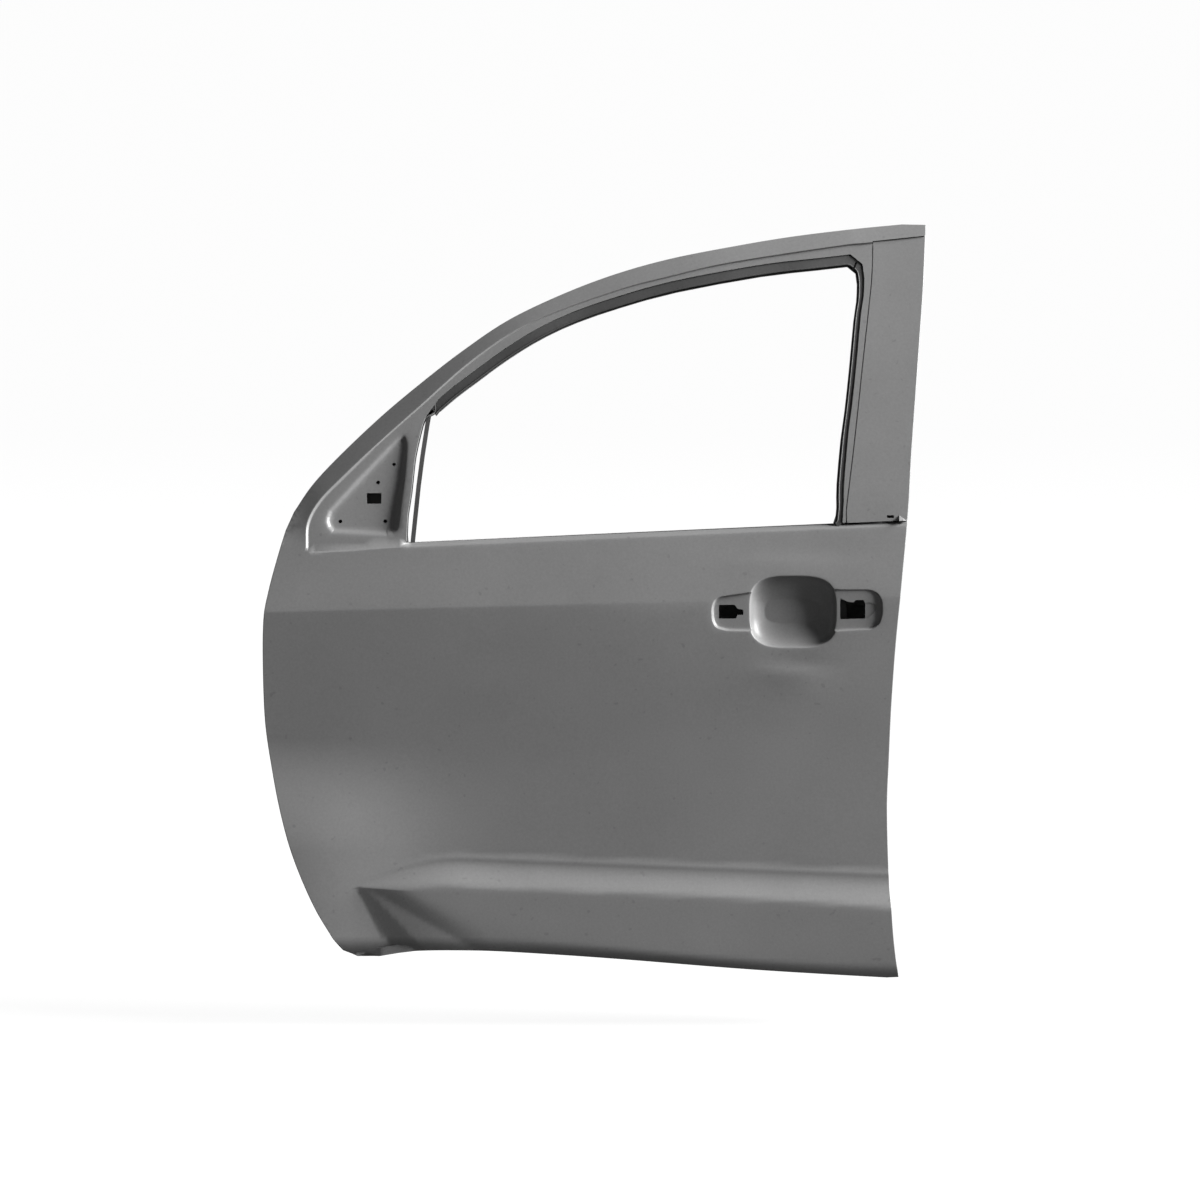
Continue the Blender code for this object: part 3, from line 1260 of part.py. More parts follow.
def main():
    for obj in list(bpy.data.objects):
        bpy.data.objects.remove(obj, do_unlink=True)
    for name in (PARTS, CUTTERS):
        bpy.context.scene.collection.children.link(bpy.data.collections.new(name))
    finishes = {
        "primer": material_of("primer", PRIMER, 0.45, 0.0),
        "dark_primer": material_of("dark_primer", DARK_PRIMER, 0.50, 0.0),
        "zinc": material_of("zinc", ZINC, 0.40, 0.9),
        "mastic": material_of("mastic", MASTIC, 0.70, 0.0),
    }
    frame = bpy.data.objects.new("door_frame", None)
    bpy.data.collections[PARTS].objects.link(frame)
    frame.location = (-HINGE_X, -HINGE_Y, -UPPER_HINGE_Z)
    for piece, name, finish in build_parts(Door()):
        place(piece, name, finishes[finish], frame)


if __name__ == "__main__":
    main()
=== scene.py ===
"""A bare front left car door shell in its primer, drawn for a close look.

The first part of the file holds the door's sizes and the formulas of its faces, in the same door coordinates
as the CAD: X runs rearward from the foremost point of the skin, Y inboard from its outer face at the belt and
Z up from its lowest corner, in metres. The second part draws each sheet from those formulas as a fine closed
mesh, and the third gives every piece its finish and sets up the picture.
"""
import json
import math

import bmesh
import bpy
import numpy as np
from bpy.props import FloatProperty, PointerProperty
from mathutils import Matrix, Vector
from mathutils.bvhtree import BVHTree
from mathutils.geometry import delaunay_2d_cdt


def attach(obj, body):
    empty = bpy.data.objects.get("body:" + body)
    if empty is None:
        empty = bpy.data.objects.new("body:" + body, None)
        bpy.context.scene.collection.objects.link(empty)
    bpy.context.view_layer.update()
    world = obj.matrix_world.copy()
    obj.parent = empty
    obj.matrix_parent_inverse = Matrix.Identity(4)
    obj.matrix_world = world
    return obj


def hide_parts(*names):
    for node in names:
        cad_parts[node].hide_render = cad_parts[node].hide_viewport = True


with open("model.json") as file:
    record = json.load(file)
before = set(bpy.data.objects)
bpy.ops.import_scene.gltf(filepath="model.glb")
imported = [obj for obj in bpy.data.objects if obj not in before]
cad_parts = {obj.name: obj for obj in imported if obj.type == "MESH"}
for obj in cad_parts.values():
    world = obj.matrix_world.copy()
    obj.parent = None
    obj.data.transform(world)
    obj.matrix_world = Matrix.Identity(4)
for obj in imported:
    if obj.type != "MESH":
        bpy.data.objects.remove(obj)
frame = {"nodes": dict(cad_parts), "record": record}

bl_info = {
    "name": "Car door shell",
    "version": (1, 0, 0),
    "blender": (4, 5, 0),
    "location": "3D View > Sidebar > Door shell",
    "description": "Draws a primed front left car door shell with its stage",
    "category": "Object",
}

# Where the door's own zero lies, which puts the world's origin on the upper hinge face
ORIGIN = np.array((0.060, 0.040, 0.640))

# Sheets and clearances
SKIN_SHEET = 0.0008
INNER_SHEET = 0.0010
CHANNEL_SHEET = 0.0009
GAP = 0.0003

# Feature lines of the outer face, each a straight line from the front edge to the rear edge
LENGTH = 1.085
BELT_FRONT_Z = 0.7125
BELT_REAR_Z = 0.7600
SHOULDER_FRONT_Z = 0.6135
SHOULDER_REAR_Z = 0.6405
HOLLOW_FRONT_Z = 0.2110
HOLLOW_REAR_Z = 0.1690
SILL_FRONT_Z = 0.1630
SILL_REAR_Z = 0.1040

# Forms of the outer face
SHOULDER_LEAN = 0.218
TUMBLEHOME = 0.175
TUMBLEHOME_GAIN = 0.150
LOWER_LEAN = 0.012
BOW_CENTRE_X = 0.700
BOW_DEPTH = 0.014
BULGE_FULL_X = 0.340
TUCK_FRONT_X = 0.175
CREASE_RADIUS = 0.002

# Outline of the skin, anticlockwise seen from outside, in door coordinates (X, Z)
FRONT_EDGE = (
    (0.035, 0.752), (0.021, 0.701), (0.009, 0.651), (0.001, 0.601), (0.000, 0.520), (0.004, 0.425),
    (0.016, 0.349), (0.033, 0.274), (0.056, 0.198), (0.088, 0.123), (0.120, 0.068),
)
LOWER_CORNER = ((0.136, 0.048), (0.160, 0.037))
BOTTOM_EDGE = (
    (0.197, 0.037), (0.265, 0.047), (0.365, 0.048), (0.466, 0.043), (0.600, 0.034), (0.817, 0.017),
    (1.045, 0.003),
)
REAR_EDGE = (
    (1.065, 0.004), (1.058, 0.048), (1.052, 0.123), (1.047, 0.274), (1.050, 0.370), (1.055, 0.475),
    (1.065, 0.601), (1.085, 0.777), (1.094, 0.888), (1.111, 1.061), (1.122, 1.170), (1.131, 1.285),
)
ROOF_EDGE = (
    (1.090, 1.286), (1.011, 1.278), (0.900, 1.264), (0.796, 1.246), (0.683, 1.223), (0.585, 1.194),
    (0.495, 1.158), (0.407, 1.114), (0.332, 1.062), (0.265, 1.009), (0.195, 0.949), (0.124, 0.880),
    (0.078, 0.829), (0.048, 0.783),
)

# The clear window opening, anticlockwise; its lower edge follows the belt
WINDOW_FRONT_X = 0.2525
WINDOW_REAR_X = 0.9640
WINDOW_OVER_BELT = 0.0095
WINDOW_REAR = (
    (0.967, 0.790), (0.968, 0.830), (0.976, 0.905), (0.984, 0.957), (0.994, 1.035), (1.003, 1.114),
    (1.009, 1.150), (1.011, 1.180),
)
WINDOW_CORNER = ((1.009, 1.200), (0.995, 1.212))
WINDOW_TOP = (
    (0.945, 1.206), (0.845, 1.194), (0.698, 1.166), (0.602, 1.139), (0.528, 1.113), (0.474, 1.088),
    (0.430, 1.062), (0.391, 1.035), (0.357, 1.009), (0.323, 0.983), (0.293, 0.957),
)
WINDOW_FRONT = ((0.274, 0.931), (0.267, 0.880), (0.261, 0.828), (0.253, 0.777))

# Rear edge of the sail, with a sight gap between it and the division channel
SAIL_REAR = (
    (0.269, 0.944), (0.264, 0.931), (0.258, 0.905), (0.253, 0.880), (0.250, 0.854), (0.2465, 0.815),
    (0.241, 0.777),
)
SAIL_REAR_X = 0.2395

# The step line between the outer band of the pillar and header and the lower band inside it
STEP_LINE = (
    (0.0700, 0.722), (0.0715, 0.764), (0.092, 0.803), (0.133, 0.846), (0.189, 0.900), (0.258, 0.963),
    (0.349, 1.045), (0.445, 1.109), (0.586, 1.164), (0.691, 1.193), (0.790, 1.216), (0.978, 1.246),
    (1.034, 1.252), (1.180, 1.268),
)
BAND_SLOPE = 0.34
BAND_START_Z = 0.800
STEP_DEPTH = 0.003

# Window frame and glass channels
CHANNEL_LIP_REAR = 0.010
CHANNEL_LIP_TOP = 0.018
CHANNEL_SET_BACK = 0.005
CHANNEL_WIDTH = 0.022
CHANNEL_GAP = 0.0004
HEADER_CHANNEL_FRONT_X = 0.2860

# Hem round the outline
HEM_WIDTH = 0.012
HEM_PLAY = 0.0003

# Belt edge of the skin
BELT_CHAMFER_RISE = 0.0075
BELT_CHAMFER_DEPTH = 0.0110

# Rear pillar panel
PILLAR_FRONT_EDGE = (
    (0.976, 0.745), (0.980, 0.785), (0.986, 0.830), (0.993, 0.880), (1.003, 0.957), (1.014, 1.044),
    (1.026, 1.134), (1.033, 1.190), (1.036, 1.239),
)
PILLAR_TOP_EDGE = ((1.037, 1.2525), (1.180, 1.2680))
PILLAR_LAP = 0.008
PILLAR_SEAM = 0.0007
PILLAR_FLANGE = 0.012
PILLAR_SLOT_X = 1.0550
PILLAR_SLOT_OVER_BELT = 0.0158
PILLAR_SLOT_LENGTH = 0.0120
PILLAR_SLOT_HEIGHT = 0.0045

# Mirror pocket in the sail
POCKET_OUTLINE = (
    (0.112, 0.748), (0.208, 0.746), (0.222, 0.752), (0.226, 0.790), (0.234, 0.845), (0.239, 0.898),
    (0.235, 0.914), (0.226, 0.912), (0.212, 0.899), (0.157, 0.840), (0.106, 0.784), (0.102, 0.765),
)
POCKET_FLOOR_Y = 0.0330
POCKET_FLOOR_Z = 0.7600
POCKET_LEAN = 0.170
POCKET_WALL = 0.0080
MIRROR_HOLES = ((0.127, 0.767), (0.203, 0.767), (0.190, 0.833))
MIRROR_HOLE_RADIUS = 0.0032
MIRROR_WINDOW = (0.171, 0.797, 0.196, 0.815)
MIRROR_SIGHT_HOLE = (0.2165, 0.8640)
MIRROR_SIGHT_HOLE_RADIUS = 0.0030

# Handle recess; the pads and holes are measured along X from the cup's nearer end
CUP_X = 0.889
CUP_Z = 0.6155
CUP_HALF_LENGTH = 0.0740
CUP_HALF_HEIGHT = 0.0615
CUP_DEPTH = 0.030
CUP_POWER = 3.2
CUP_MOUTH_Y = -0.024
FRONT_PAD = (
    (-0.049, 0.640), (0.015, 0.650), (0.015, 0.582), (-0.037, 0.583), (-0.055, 0.588), (-0.061, 0.600),
    (-0.062, 0.620), (-0.058, 0.634),
)
REAR_PAD = (
    (-0.018, 0.653), (0.055, 0.653), (0.068, 0.647), (0.075, 0.634), (0.076, 0.612), (0.071, 0.594),
    (0.059, 0.585), (-0.018, 0.581),
)
PAD_FLOOR_Y = -0.0165
PAD_WALL = 0.0025
FRONT_HOLE = (
    (-0.050, 0.603), (-0.021, 0.603), (-0.019, 0.609), (-0.009, 0.609), (-0.009, 0.618), (-0.019, 0.619),
    (-0.023, 0.626), (-0.050, 0.626),
)
REAR_HOLE = (
    (0.005, 0.602), (0.049, 0.603), (0.059, 0.611), (0.066, 0.618), (0.065, 0.626), (0.055, 0.630),
    (0.046, 0.629), (0.045, 0.634), (0.031, 0.634), (0.028, 0.630), (0.018, 0.631), (0.005, 0.637),
)

# The lower bulge with its nose, the lip over it, the flare in front of it and the tuck under it
NOSE_X = 0.155
NOSE_POWER = 1.15
NOSE_TRAIL = 0.60
BULGE_RISE = 0.0270
BULGE_CUT = 0.85
BULGE_LEAST_HEIGHT = 0.004
LIP_RISE = 0.0020
LIP_HEIGHT = 0.0160
LIP_WIDTH = 0.0130
FRONT_FLARE = 0.0330
FRONT_FLARE_X = 0.180
FRONT_FLARE_REACH = 0.115
FRONT_FLARE_TOP_Z = 0.400
FRONT_FLARE_FULL_Z = 0.215
UNDER_SLOPE = 0.082
UNDER_START = 0.006
BOTTOM_TURN = 0.024
BOTTOM_TURN_DEPTH = 0.0095
BOTTOM_TURN_MOST = 1.2

# Soft waves in the sheet, as (x, z, reach along x, height, depth): each turns the light over its height
SHEET_WAVES = (
    (0.885, 0.704, 0.100, 0.012, 0.0012), (0.890, 0.520, 0.052, 0.010, 0.0019),
    (0.600, 0.455, 0.400, 0.040, -0.0005), (0.300, 0.300, 0.220, 0.070, 0.0006),
    (0.640, 0.330, 0.160, 0.050, 0.0003),
)
WAVE_RETURN = 3.5

# The joggle inside the step line, a little wider and deeper round the sail, and where that fades out
STEP_WIDTH = 0.0026
SAIL_EXTRA_WIDTH = 0.0018
SAIL_EXTRA_DEPTH = 0.0004
SAIL_FADE_X = 0.160
SAIL_FADE_LENGTH = 0.080
SAIL_FADE_Z = 0.770
SAIL_FADE_HEIGHT = 0.190
SAIL_LOWER_CORNER = ((0.0775, 0.7135), (0.0960, 0.7125))
BAND_SET_OFF = 0.0004
BAND_RADIUS = 0.0012

# The belt edge's turn, its rounding and where it starts behind the sail and ends over the edge
BELT_TURN_RADIUS = 0.0015
BELT_TURN_START = 0.006
BELT_TURN_OVER = 0.0002
BELT_TURN_FADE = 0.0020

# The drawn mirror pocket, which is shallower than the CAD's and has a softer wall
POCKET_CORNER = 0.010
POCKET_LIFT = 0.0060
POCKET_SLOPE = 1.1
POCKET_SHOULDER = 0.0060
POCKET_FILLET = 0.0022
POCKET_EDGE_RADIUS = 0.0030
POCKET_REACH = 0.020

# The handle's pads, and the cup, whose half length and half height shrink steadily and more near the floor
PAD_CORNER = 0.006
PAD_SLOPE = 2.4
PAD_FILLET = 0.0008
PAD_EDGE_RADIUS = 0.0012
PAD_REACH = 0.030
CUP_TAPERS = ((0.10, 0.28), (0.15, 0.51))
CUP_FLOOR_POWER = 4
CUP_MOUTH_FLARE = 6.0
CUP_EDGE_RADIUS = 0.0022
CUP_REACH = 0.5
CUP_HALVINGS = 22

# The window's lips: where the header's wider lip starts, and how the channel's two lengths are parted
WINDOW_CORNER_RADIUS = 0.006
LIP_CHANGE_Z = 0.850
LIP_CHANGE_HEIGHT = 0.100
WINDOW_MIDDLE = (0.62, 0.80)
PILLAR_UNDERLAP = 0.006
HEADER_PART_Z = 0.90
REAR_PART_X = 0.90
MITRE_GAP = 0.0015
CHANNEL_BEAD = 0.0030
CHANNEL_BEAD_RISE = 0.0012
CHANNEL_BEAD_POINTS = 7
CHANNEL_STEP = 0.006

# How the inner panel's rim is cut finer, and how far in the change from the CAD's face reaches
RIM_HALVINGS = 5
RIM_STEP = 0.013
RIM_REACH = 0.023
RIM_FAR = 0.048
RIM_MOST = 0.030

# How finely the sheets are drawn
EDGE_STEPS = 6
PILLAR_EDGE_STEPS = 4
GRID_STEP = 0.0070
BOUNDARY_STEP = 0.0035
HOLE_STEP = 0.0012
HOLE_SIDES = 24
SMALL_CORNER = 0.0015
CORNER_MOST = 0.45
SHARPEST_SHARE = 0.25
HANDLE_HOLE_CORNER = 0.002
EDGE_INSET = 0.0002
ROLL_RADIUS = 0.0012
FOLD_START = 0.0021
HEM_BEND = ((0.0002, 0.0006), (0.0006, 0.0002), (0.0012, 0.0))
HEM_BACK = ((0.0014, 0.0), (0.0008, 0.0002))
FOLD_CLEAR = 0.0001
PROBE = 0.0001
WELL_PAST = 0.5
ON_EDGE = 0.0003
FACE_SHARP_DEGREES = 50
PANEL_SHARP_DEGREES = 28

# How far points keep inside the outline, off the holes and off the openings
INSIDE_MARGIN = 0.00008
HOLE_MARGIN = 0.0004
OPENING_MARGIN = 0.0012

# Guide lines beside each feature, as distances from it, and how far the plain grid keeps off
EDGE_LINES = (0.00015, 0.0004, 0.0008, 0.0013, 0.0030)
EDGE_CLEAR = 0.0045
HOLE_CLEAR = 0.0018
SLOT_CLEAR = 0.0020
POCKET_LINES = (0.0060, 0.0050, 0.0040, 0.0030, 0.0020, 0.0, -0.0020, -0.0030, -0.0040, -0.0050, -0.0070)
POCKET_STEP = 0.0025
POCKET_CLEAR = 0.0085
CUP_RING_POINTS = 120
CUP_LINES = (0.0040, 0.0022, 0.0012, 0.0005, 0.0)
CUP_SHARES = (0.02, 0.05, 0.1, 0.17, 0.25, 0.34, 0.44, 0.54, 0.64, 0.73, 0.81, 0.88, 0.94, 0.98, 1.0)
CUP_FLOOR_RING = (0.60, 0.32)
CUP_CLEAR = 0.0020
CUP_INNER_RING = 0.80
CUP_INNER_CLEAR = 0.0150
PAD_STEP = 0.0020
PAD_LINES = (0.0022, 0.0010, 0.0, -0.0010, -0.0020, -0.0027, -0.0040)
PAD_CLEAR = 0.0052
PAD_OFF_CUP = 0.0030
PAD_OFF_CUP_CLEAR = 0.0012
STEP_LINE_STEP = 0.0040
STEP_LINES = (0.0025, 0.0010, 0.0003, -0.0005, -0.0015, -0.0030, -0.0055)
STEP_CLEAR = 0.0080
BELT_LINES = (0.0, 0.0010, 0.0025, 0.0045, 0.0062)
BELT_LINES_EARLY = 0.004
BELT_LINES_PAST = 0.110
CREASE_LINES = (-0.0080, -0.0040, -0.0020, -0.0010, 0.0, 0.0010, 0.0020, 0.0040, 0.0080)
CREASE_CLEAR = 0.0110
WHOLE_LENGTH = (-0.01, 1.14)

# Finishes: the film's clouds, grain, dust and peel, as noise scales and shares
NOISE_LOW, NOISE_HIGH = 0.30, 0.70
CLOUD_SCALE = 5.0
GRAIN_SCALE = 230.0
GRAIN_SHARE = 0.07
DUST_SCALE = 120.0
DUST_LOW, DUST_HIGH = 0.80, 0.84
DUST_SHADE = 0.85
GLOSS_SCALE = 14.0
PEEL_SCALE = 150.0
PEEL_HEIGHT = 0.0003
PRIMER_IOR = 1.45
ZINC_COLOUR = (0.42, 0.415, 0.40)
ZINC_ROUGHNESS = 0.40
ZINC_GRAIN_SCALE = 300.0
MASTIC_COLOUR = (0.035, 0.035, 0.036)

# The stage, in the world's own coordinates
FLOOR_Z = -0.72
FLOOR_NEAR_Y = -7.0
WALL_Y = 3.2
WALL_CURVE = 1.2
WALL_CURVE_POINTS = 24
WALL_TOP_Z = 6.0
HALF_WIDTH = 9.0
PAPER_UNSEEN, PAPER_SEEN = 0.06, 0.80
PAPER_GLOW = 0.90
CAMERA_X, CAMERA_Z = 0.506, -0.006
CAMERA_LENS = 80.36
CAMERA_SENSOR = 36.0
CAMERA_FAR = 60.0
KEY_SIDE = (6.3, -1.0, 2.92)
KEY_ANGLE = 0.55


# Formulas of the outer face, with the finer forms that the CAD leaves out


def ramp(distance, radius):
    """Zero below the line and the distance above it, rounded over the radius."""
    return 0.5 * (distance + np.sqrt(distance * distance + radius * radius))


def least(a, b, radius):
    """The smaller of two distances, rounded where they cross."""
    return 0.5 * (a + b - np.sqrt((a - b) ** 2 + radius * radius))


def most(a, b, radius):
    """The larger of two depths, rounded where they cross."""
    return 0.5 * (a + b + np.sqrt((a - b) ** 2 + radius * radius))


def step(t):
    """Rises smoothly from 0 to 1 as t does."""
    t = np.clip(t, 0.0, 1.0)
    return t * t * (3.0 - 2.0 * t)


def line(x, front, rear):
    """Height of a feature line that is straight from the front edge to the rear edge."""
    return front + (rear - front) * x / LENGTH


def belt_z(x):
    """Height of the belt, where the skin ends and the window begins."""
    return line(x, BELT_FRONT_Z, BELT_REAR_Z)


def shoulder_z(x):
    """Height of the shoulder crease under the belt."""
    return line(x, SHOULDER_FRONT_Z, SHOULDER_REAR_Z)


def sill_z(x):
    """Height of the crease under the lower bulge."""
    return line(x, SILL_FRONT_Z, SILL_REAR_Z)


def nose_share(x):
    """How much of the lower bulge is there: it grows from nothing at its nose to all of it further back."""
    t = np.clip((BULGE_FULL_X - x) / (BULGE_FULL_X - NOSE_X), 0.0, 1.0)
    return (1.0 - t * t) ** NOSE_POWER


def hollow_z(x):
    """The dark line over the lower bulge, which curves down to the sill crease at its nose."""
    height = line(x, HOLLOW_FRONT_Z, HOLLOW_REAR_Z) - sill_z(x)
    return sill_z(x) + height * nose_share(x)


def bottom_z(x):
    """About the height of the skin's bottom edge, which falls smoothly from the bulge's nose to the rear."""
    front, rear = BOTTOM_EDGE[1][1], BOTTOM_EDGE[-1][1]
    return front - (front - rear) * step((x - BULGE_FULL_X) / (LENGTH - BULGE_FULL_X))


def waves(x, z):
    """Small waves of the sheet, which come back to its plain face further off."""
    y = np.zeros(np.broadcast(x, z).shape)
    for place_x, place_z, reach, height, depth in SHEET_WAVES:
        along = (x - place_x) / reach
        over = (z - place_z) / height
        y = y + depth * np.tanh(over) * np.exp(-along * along - (over / WAVE_RETURN) ** 2)
    return y


def skin_y(x, z):
    """Outer face of the door before its recesses: how far inboard it lies at a place.

    Straight slopes between the feature lines, rounded where they meet, are summed with a parabola along the
    door, the sheet's waves, the lower bulge and its lip, the front flare, and the tuck under the sill.
    """
    over_belt = ramp(z - belt_z(x), CREASE_RADIUS)
    y = TUMBLEHOME * over_belt + TUMBLEHOME_GAIN * over_belt**2
    under_shoulder = ramp(shoulder_z(x) - z, CREASE_RADIUS)
    y = y - SHOULDER_LEAN * (ramp(belt_z(x) - z, CREASE_RADIUS) - under_shoulder)
    y = y + LOWER_LEAN * under_shoulder
    y = y + BOW_DEPTH * ((x - BOW_CENTRE_X) / BOW_CENTRE_X) ** 2 + waves(x, z)
    sill, hollow = sill_z(x), hollow_z(x)
    under_sill = sill - z
    full = nose_share(x - NOSE_TRAIL * ramp(under_sill, UNDER_START))
    share = np.clip((hollow - z) / np.maximum(hollow - sill, BULGE_LEAST_HEIGHT), 0.0, 1.0)
    y = y - BULGE_RISE * full * step(BULGE_CUT * share) / step(BULGE_CUT)
    y = y - LIP_RISE * nose_share(x) * step((hollow + LIP_HEIGHT - z) / LIP_WIDTH)
    flare = 0.5 * FRONT_FLARE * (1.0 - np.tanh((x - FRONT_FLARE_X) / FRONT_FLARE_REACH))
    y = y - flare * step((FRONT_FLARE_TOP_Z - z) / (FRONT_FLARE_TOP_Z - FRONT_FLARE_FULL_Z))
    behind_front = x - TUCK_FRONT_X - under_sill
    y = y + UNDER_SLOPE * ramp(least(under_sill, behind_front, UNDER_START), CREASE_RADIUS)
    turn = np.clip((bottom_z(x) + BOTTOM_TURN - z) / BOTTOM_TURN, 0.0, BOTTOM_TURN_MOST)
    return y + BOTTOM_TURN_DEPTH * turn * turn


# Outlines


def smooth_edge(points, steps=EDGE_STEPS):
    """A curve through the points: a Catmull-Rom spline, with its ends carried straight on."""
    p = np.array(points, float)
    if len(p) < 3:
        return p
    ends = np.vstack([2 * p[0] - p[1], p, 2 * p[-1] - p[-2]])
    t = np.linspace(0.0, 1.0, steps, endpoint=False)[:, None, None]
    a, b, c, d = ends[:-3], ends[1:-2], ends[2:-1], ends[3:]
    curve = 0.5 * (2 * b + (c - a) * t + (2 * a - 5 * b + 4 * c - d) * t**2 + (3 * b - a - 3 * c + d) * t**3)
    return np.vstack([curve.transpose(1, 0, 2).reshape(-1, 2), p[-1:]])


def outline_of(*edges):
    """One closed outline from edges that follow each other, each smooth within itself."""
    points = np.vstack([smooth_edge(edge) for edge in edges])
    apart = np.linalg.norm(points - np.roll(points, 1, axis=0), axis=1) > 1e-5
    return points[apart]


def smooth_loop(points, steps=EDGE_STEPS):
    """A closed Catmull-Rom curve through the points."""
    p = np.array(points, float)
    t = np.linspace(0.0, 1.0, steps, endpoint=False)[:, None, None]
    a, b, c, d = (np.roll(p, shift, axis=0) for shift in (1, 0, -1, -2))
    curve = 0.5 * (2 * b + (c - a) * t + (2 * a - 5 * b + 4 * c - d) * t**2 + (3 * b - a - 3 * c + d) * t**3)
    return curve.transpose(1, 0, 2).reshape(-1, 2)


def grown(outline, distance):
    """The outline moved outwards by the distance, or inwards by a negative one, with mitred corners."""
    p = np.asarray(outline, float)
    ahead = np.roll(p, -1, axis=0) - p
    ahead /= np.linalg.norm(ahead, axis=1, keepdims=True)
    behind = np.roll(ahead, 1, axis=0)
    out_ahead = np.column_stack([ahead[:, 1], -ahead[:, 0]])
    out_behind = np.column_stack([behind[:, 1], -behind[:, 0]])
    share = 1.0 + (out_ahead * out_behind).sum(axis=1, keepdims=True)
    return p + (out_ahead + out_behind) * distance / np.maximum(share, SHARPEST_SHARE)


def anticlockwise(points):
    """The outline in the order whose area is positive: half the sum of its edges' cross products."""
    p = np.asarray(points, float)
    area = (p[:, 0] * np.roll(p[:, 1], -1) - p[:, 1] * np.roll(p[:, 0], -1)).sum()
    return p if area > 0 else p[::-1]


def rounded_outline(points, radius, steps=5):
    """A closed outline whose corners are turned with the radius: each corner becomes a short curve."""
    p = anticlockwise(points)
    before, after = np.roll(p, 1, axis=0) - p, np.roll(p, -1, axis=0) - p
    length_before = np.linalg.norm(before, axis=1, keepdims=True)
    length_after = np.linalg.norm(after, axis=1, keepdims=True)
    start = p + before / length_before * np.minimum(radius, CORNER_MOST * length_before)
    end = p + after / length_after * np.minimum(radius, CORNER_MOST * length_after)
    t = np.linspace(0.0, 1.0, steps + 1)[:, None, None]
    curve = (1 - t) ** 2 * start + 2 * t * (1 - t) * p + t**2 * end
    return curve.transpose(1, 0, 2).reshape(-1, 2)


def circle(x, z, radius):
    """Points round a circle: its centre plus the radius times the cosine and sine of equal steps."""
    angle = np.arange(HOLE_SIDES) * 2 * math.pi / HOLE_SIDES
    return np.column_stack([x + radius * np.cos(angle), z + radius * np.sin(angle)])


def resampled(points, spacing, closed=True):
    """Points at about the spacing along a curve, with its own corners kept."""
    p = np.asarray(points, float)
    ends = np.roll(p, -1, axis=0) if closed else p[1:]
    starts = p if closed else p[:-1]
    counts = np.maximum(np.ceil(np.linalg.norm(ends - starts, axis=1) / spacing).astype(int), 1)
    which = np.repeat(np.arange(len(starts)), counts)
    first = np.repeat(np.cumsum(counts) - counts, counts)
    share = (np.arange(len(which)) - first) / counts[which]
    made = starts[which] + (ends - starts)[which] * share[:, None]
    return made if closed else np.vstack([made, p[-1:]])


def nearest(points, path, closed=True):
    """Distance to a path and the nearest point on it, for every point."""
    starts = np.asarray(path, float)
    ends = np.roll(starts, -1, axis=0)
    if not closed:
        starts, ends = starts[:-1], ends[:-1]
    ahead = ends - starts
    squares = np.maximum((ahead * ahead).sum(axis=1), 1e-18)
    best = np.full(len(points), np.inf)
    place = np.zeros_like(points)
    for start, direction, square in zip(starts, ahead, squares):
        share = np.clip((points - start) @ direction / square, 0.0, 1.0)
        foot = start + share[:, None] * direction
        gap = ((points - foot) ** 2).sum(axis=1)
        closer = gap < best
        best[closer] = gap[closer]
        place[closer] = foot[closer]
    return np.sqrt(best), place


def inside(points, outline):
    """True for each point inside a closed outline, by counting the edges that a ray to the right crosses."""
    result = np.zeros(len(points), bool)
    x, z = points[:, 0], points[:, 1]
    starts = np.asarray(outline, float)
    for (x0, z0), (x1, z1) in zip(starts, np.roll(starts, -1, axis=0)):
        if z0 == z1:
            continue
        crossing = (z0 > z) != (z1 > z)
        result ^= crossing & (x < (x1 - x0) * (z - z0) / (z1 - z0) + x0)
    return result


def within(points, outline):
    """Signed distance to a closed outline: positive inside it and negative outside."""
    gap, _ = nearest(points, outline)
    return np.where(inside(points, outline), gap, -gap)


def near_only(points, outline, reach, measure):
    """measure(points) where they lie within reach of the outline's box, and -reach elsewhere."""
    low, high = np.min(outline, axis=0) - reach, np.max(outline, axis=0) + reach
    close = ((points > low) & (points < high)).all(axis=1)
    result = np.full(len(points), -reach)
    if close.any():
        result[close] = np.maximum(measure(points[close]), -reach)
    return result


# The outlines that the pieces share


def window_belt(front_x):
    """Lower edge of the window opening, from the sail or the division channel to the rear post."""
    places = (front_x, (front_x + WINDOW_REAR_X) / 2, WINDOW_REAR_X)
    return [(x, float(belt_z(x)) + WINDOW_OVER_BELT) for x in places]


def raised(outline):
    """The window's outline with its upper edge moved up, to give the header's channel its wider lip."""
    lift = (CHANNEL_LIP_TOP - CHANNEL_LIP_REAR) * step((outline[:, 1] - LIP_CHANGE_Z) / LIP_CHANGE_HEIGHT)
    return outline + np.column_stack([np.zeros(len(outline)), lift])


def beside_cup(points, side):
    """Places measured from the cup's front end for side -1, or from its rear end for side 1."""
    return np.array(points) + (CUP_X + side * CUP_HALF_LENGTH, 0.0)


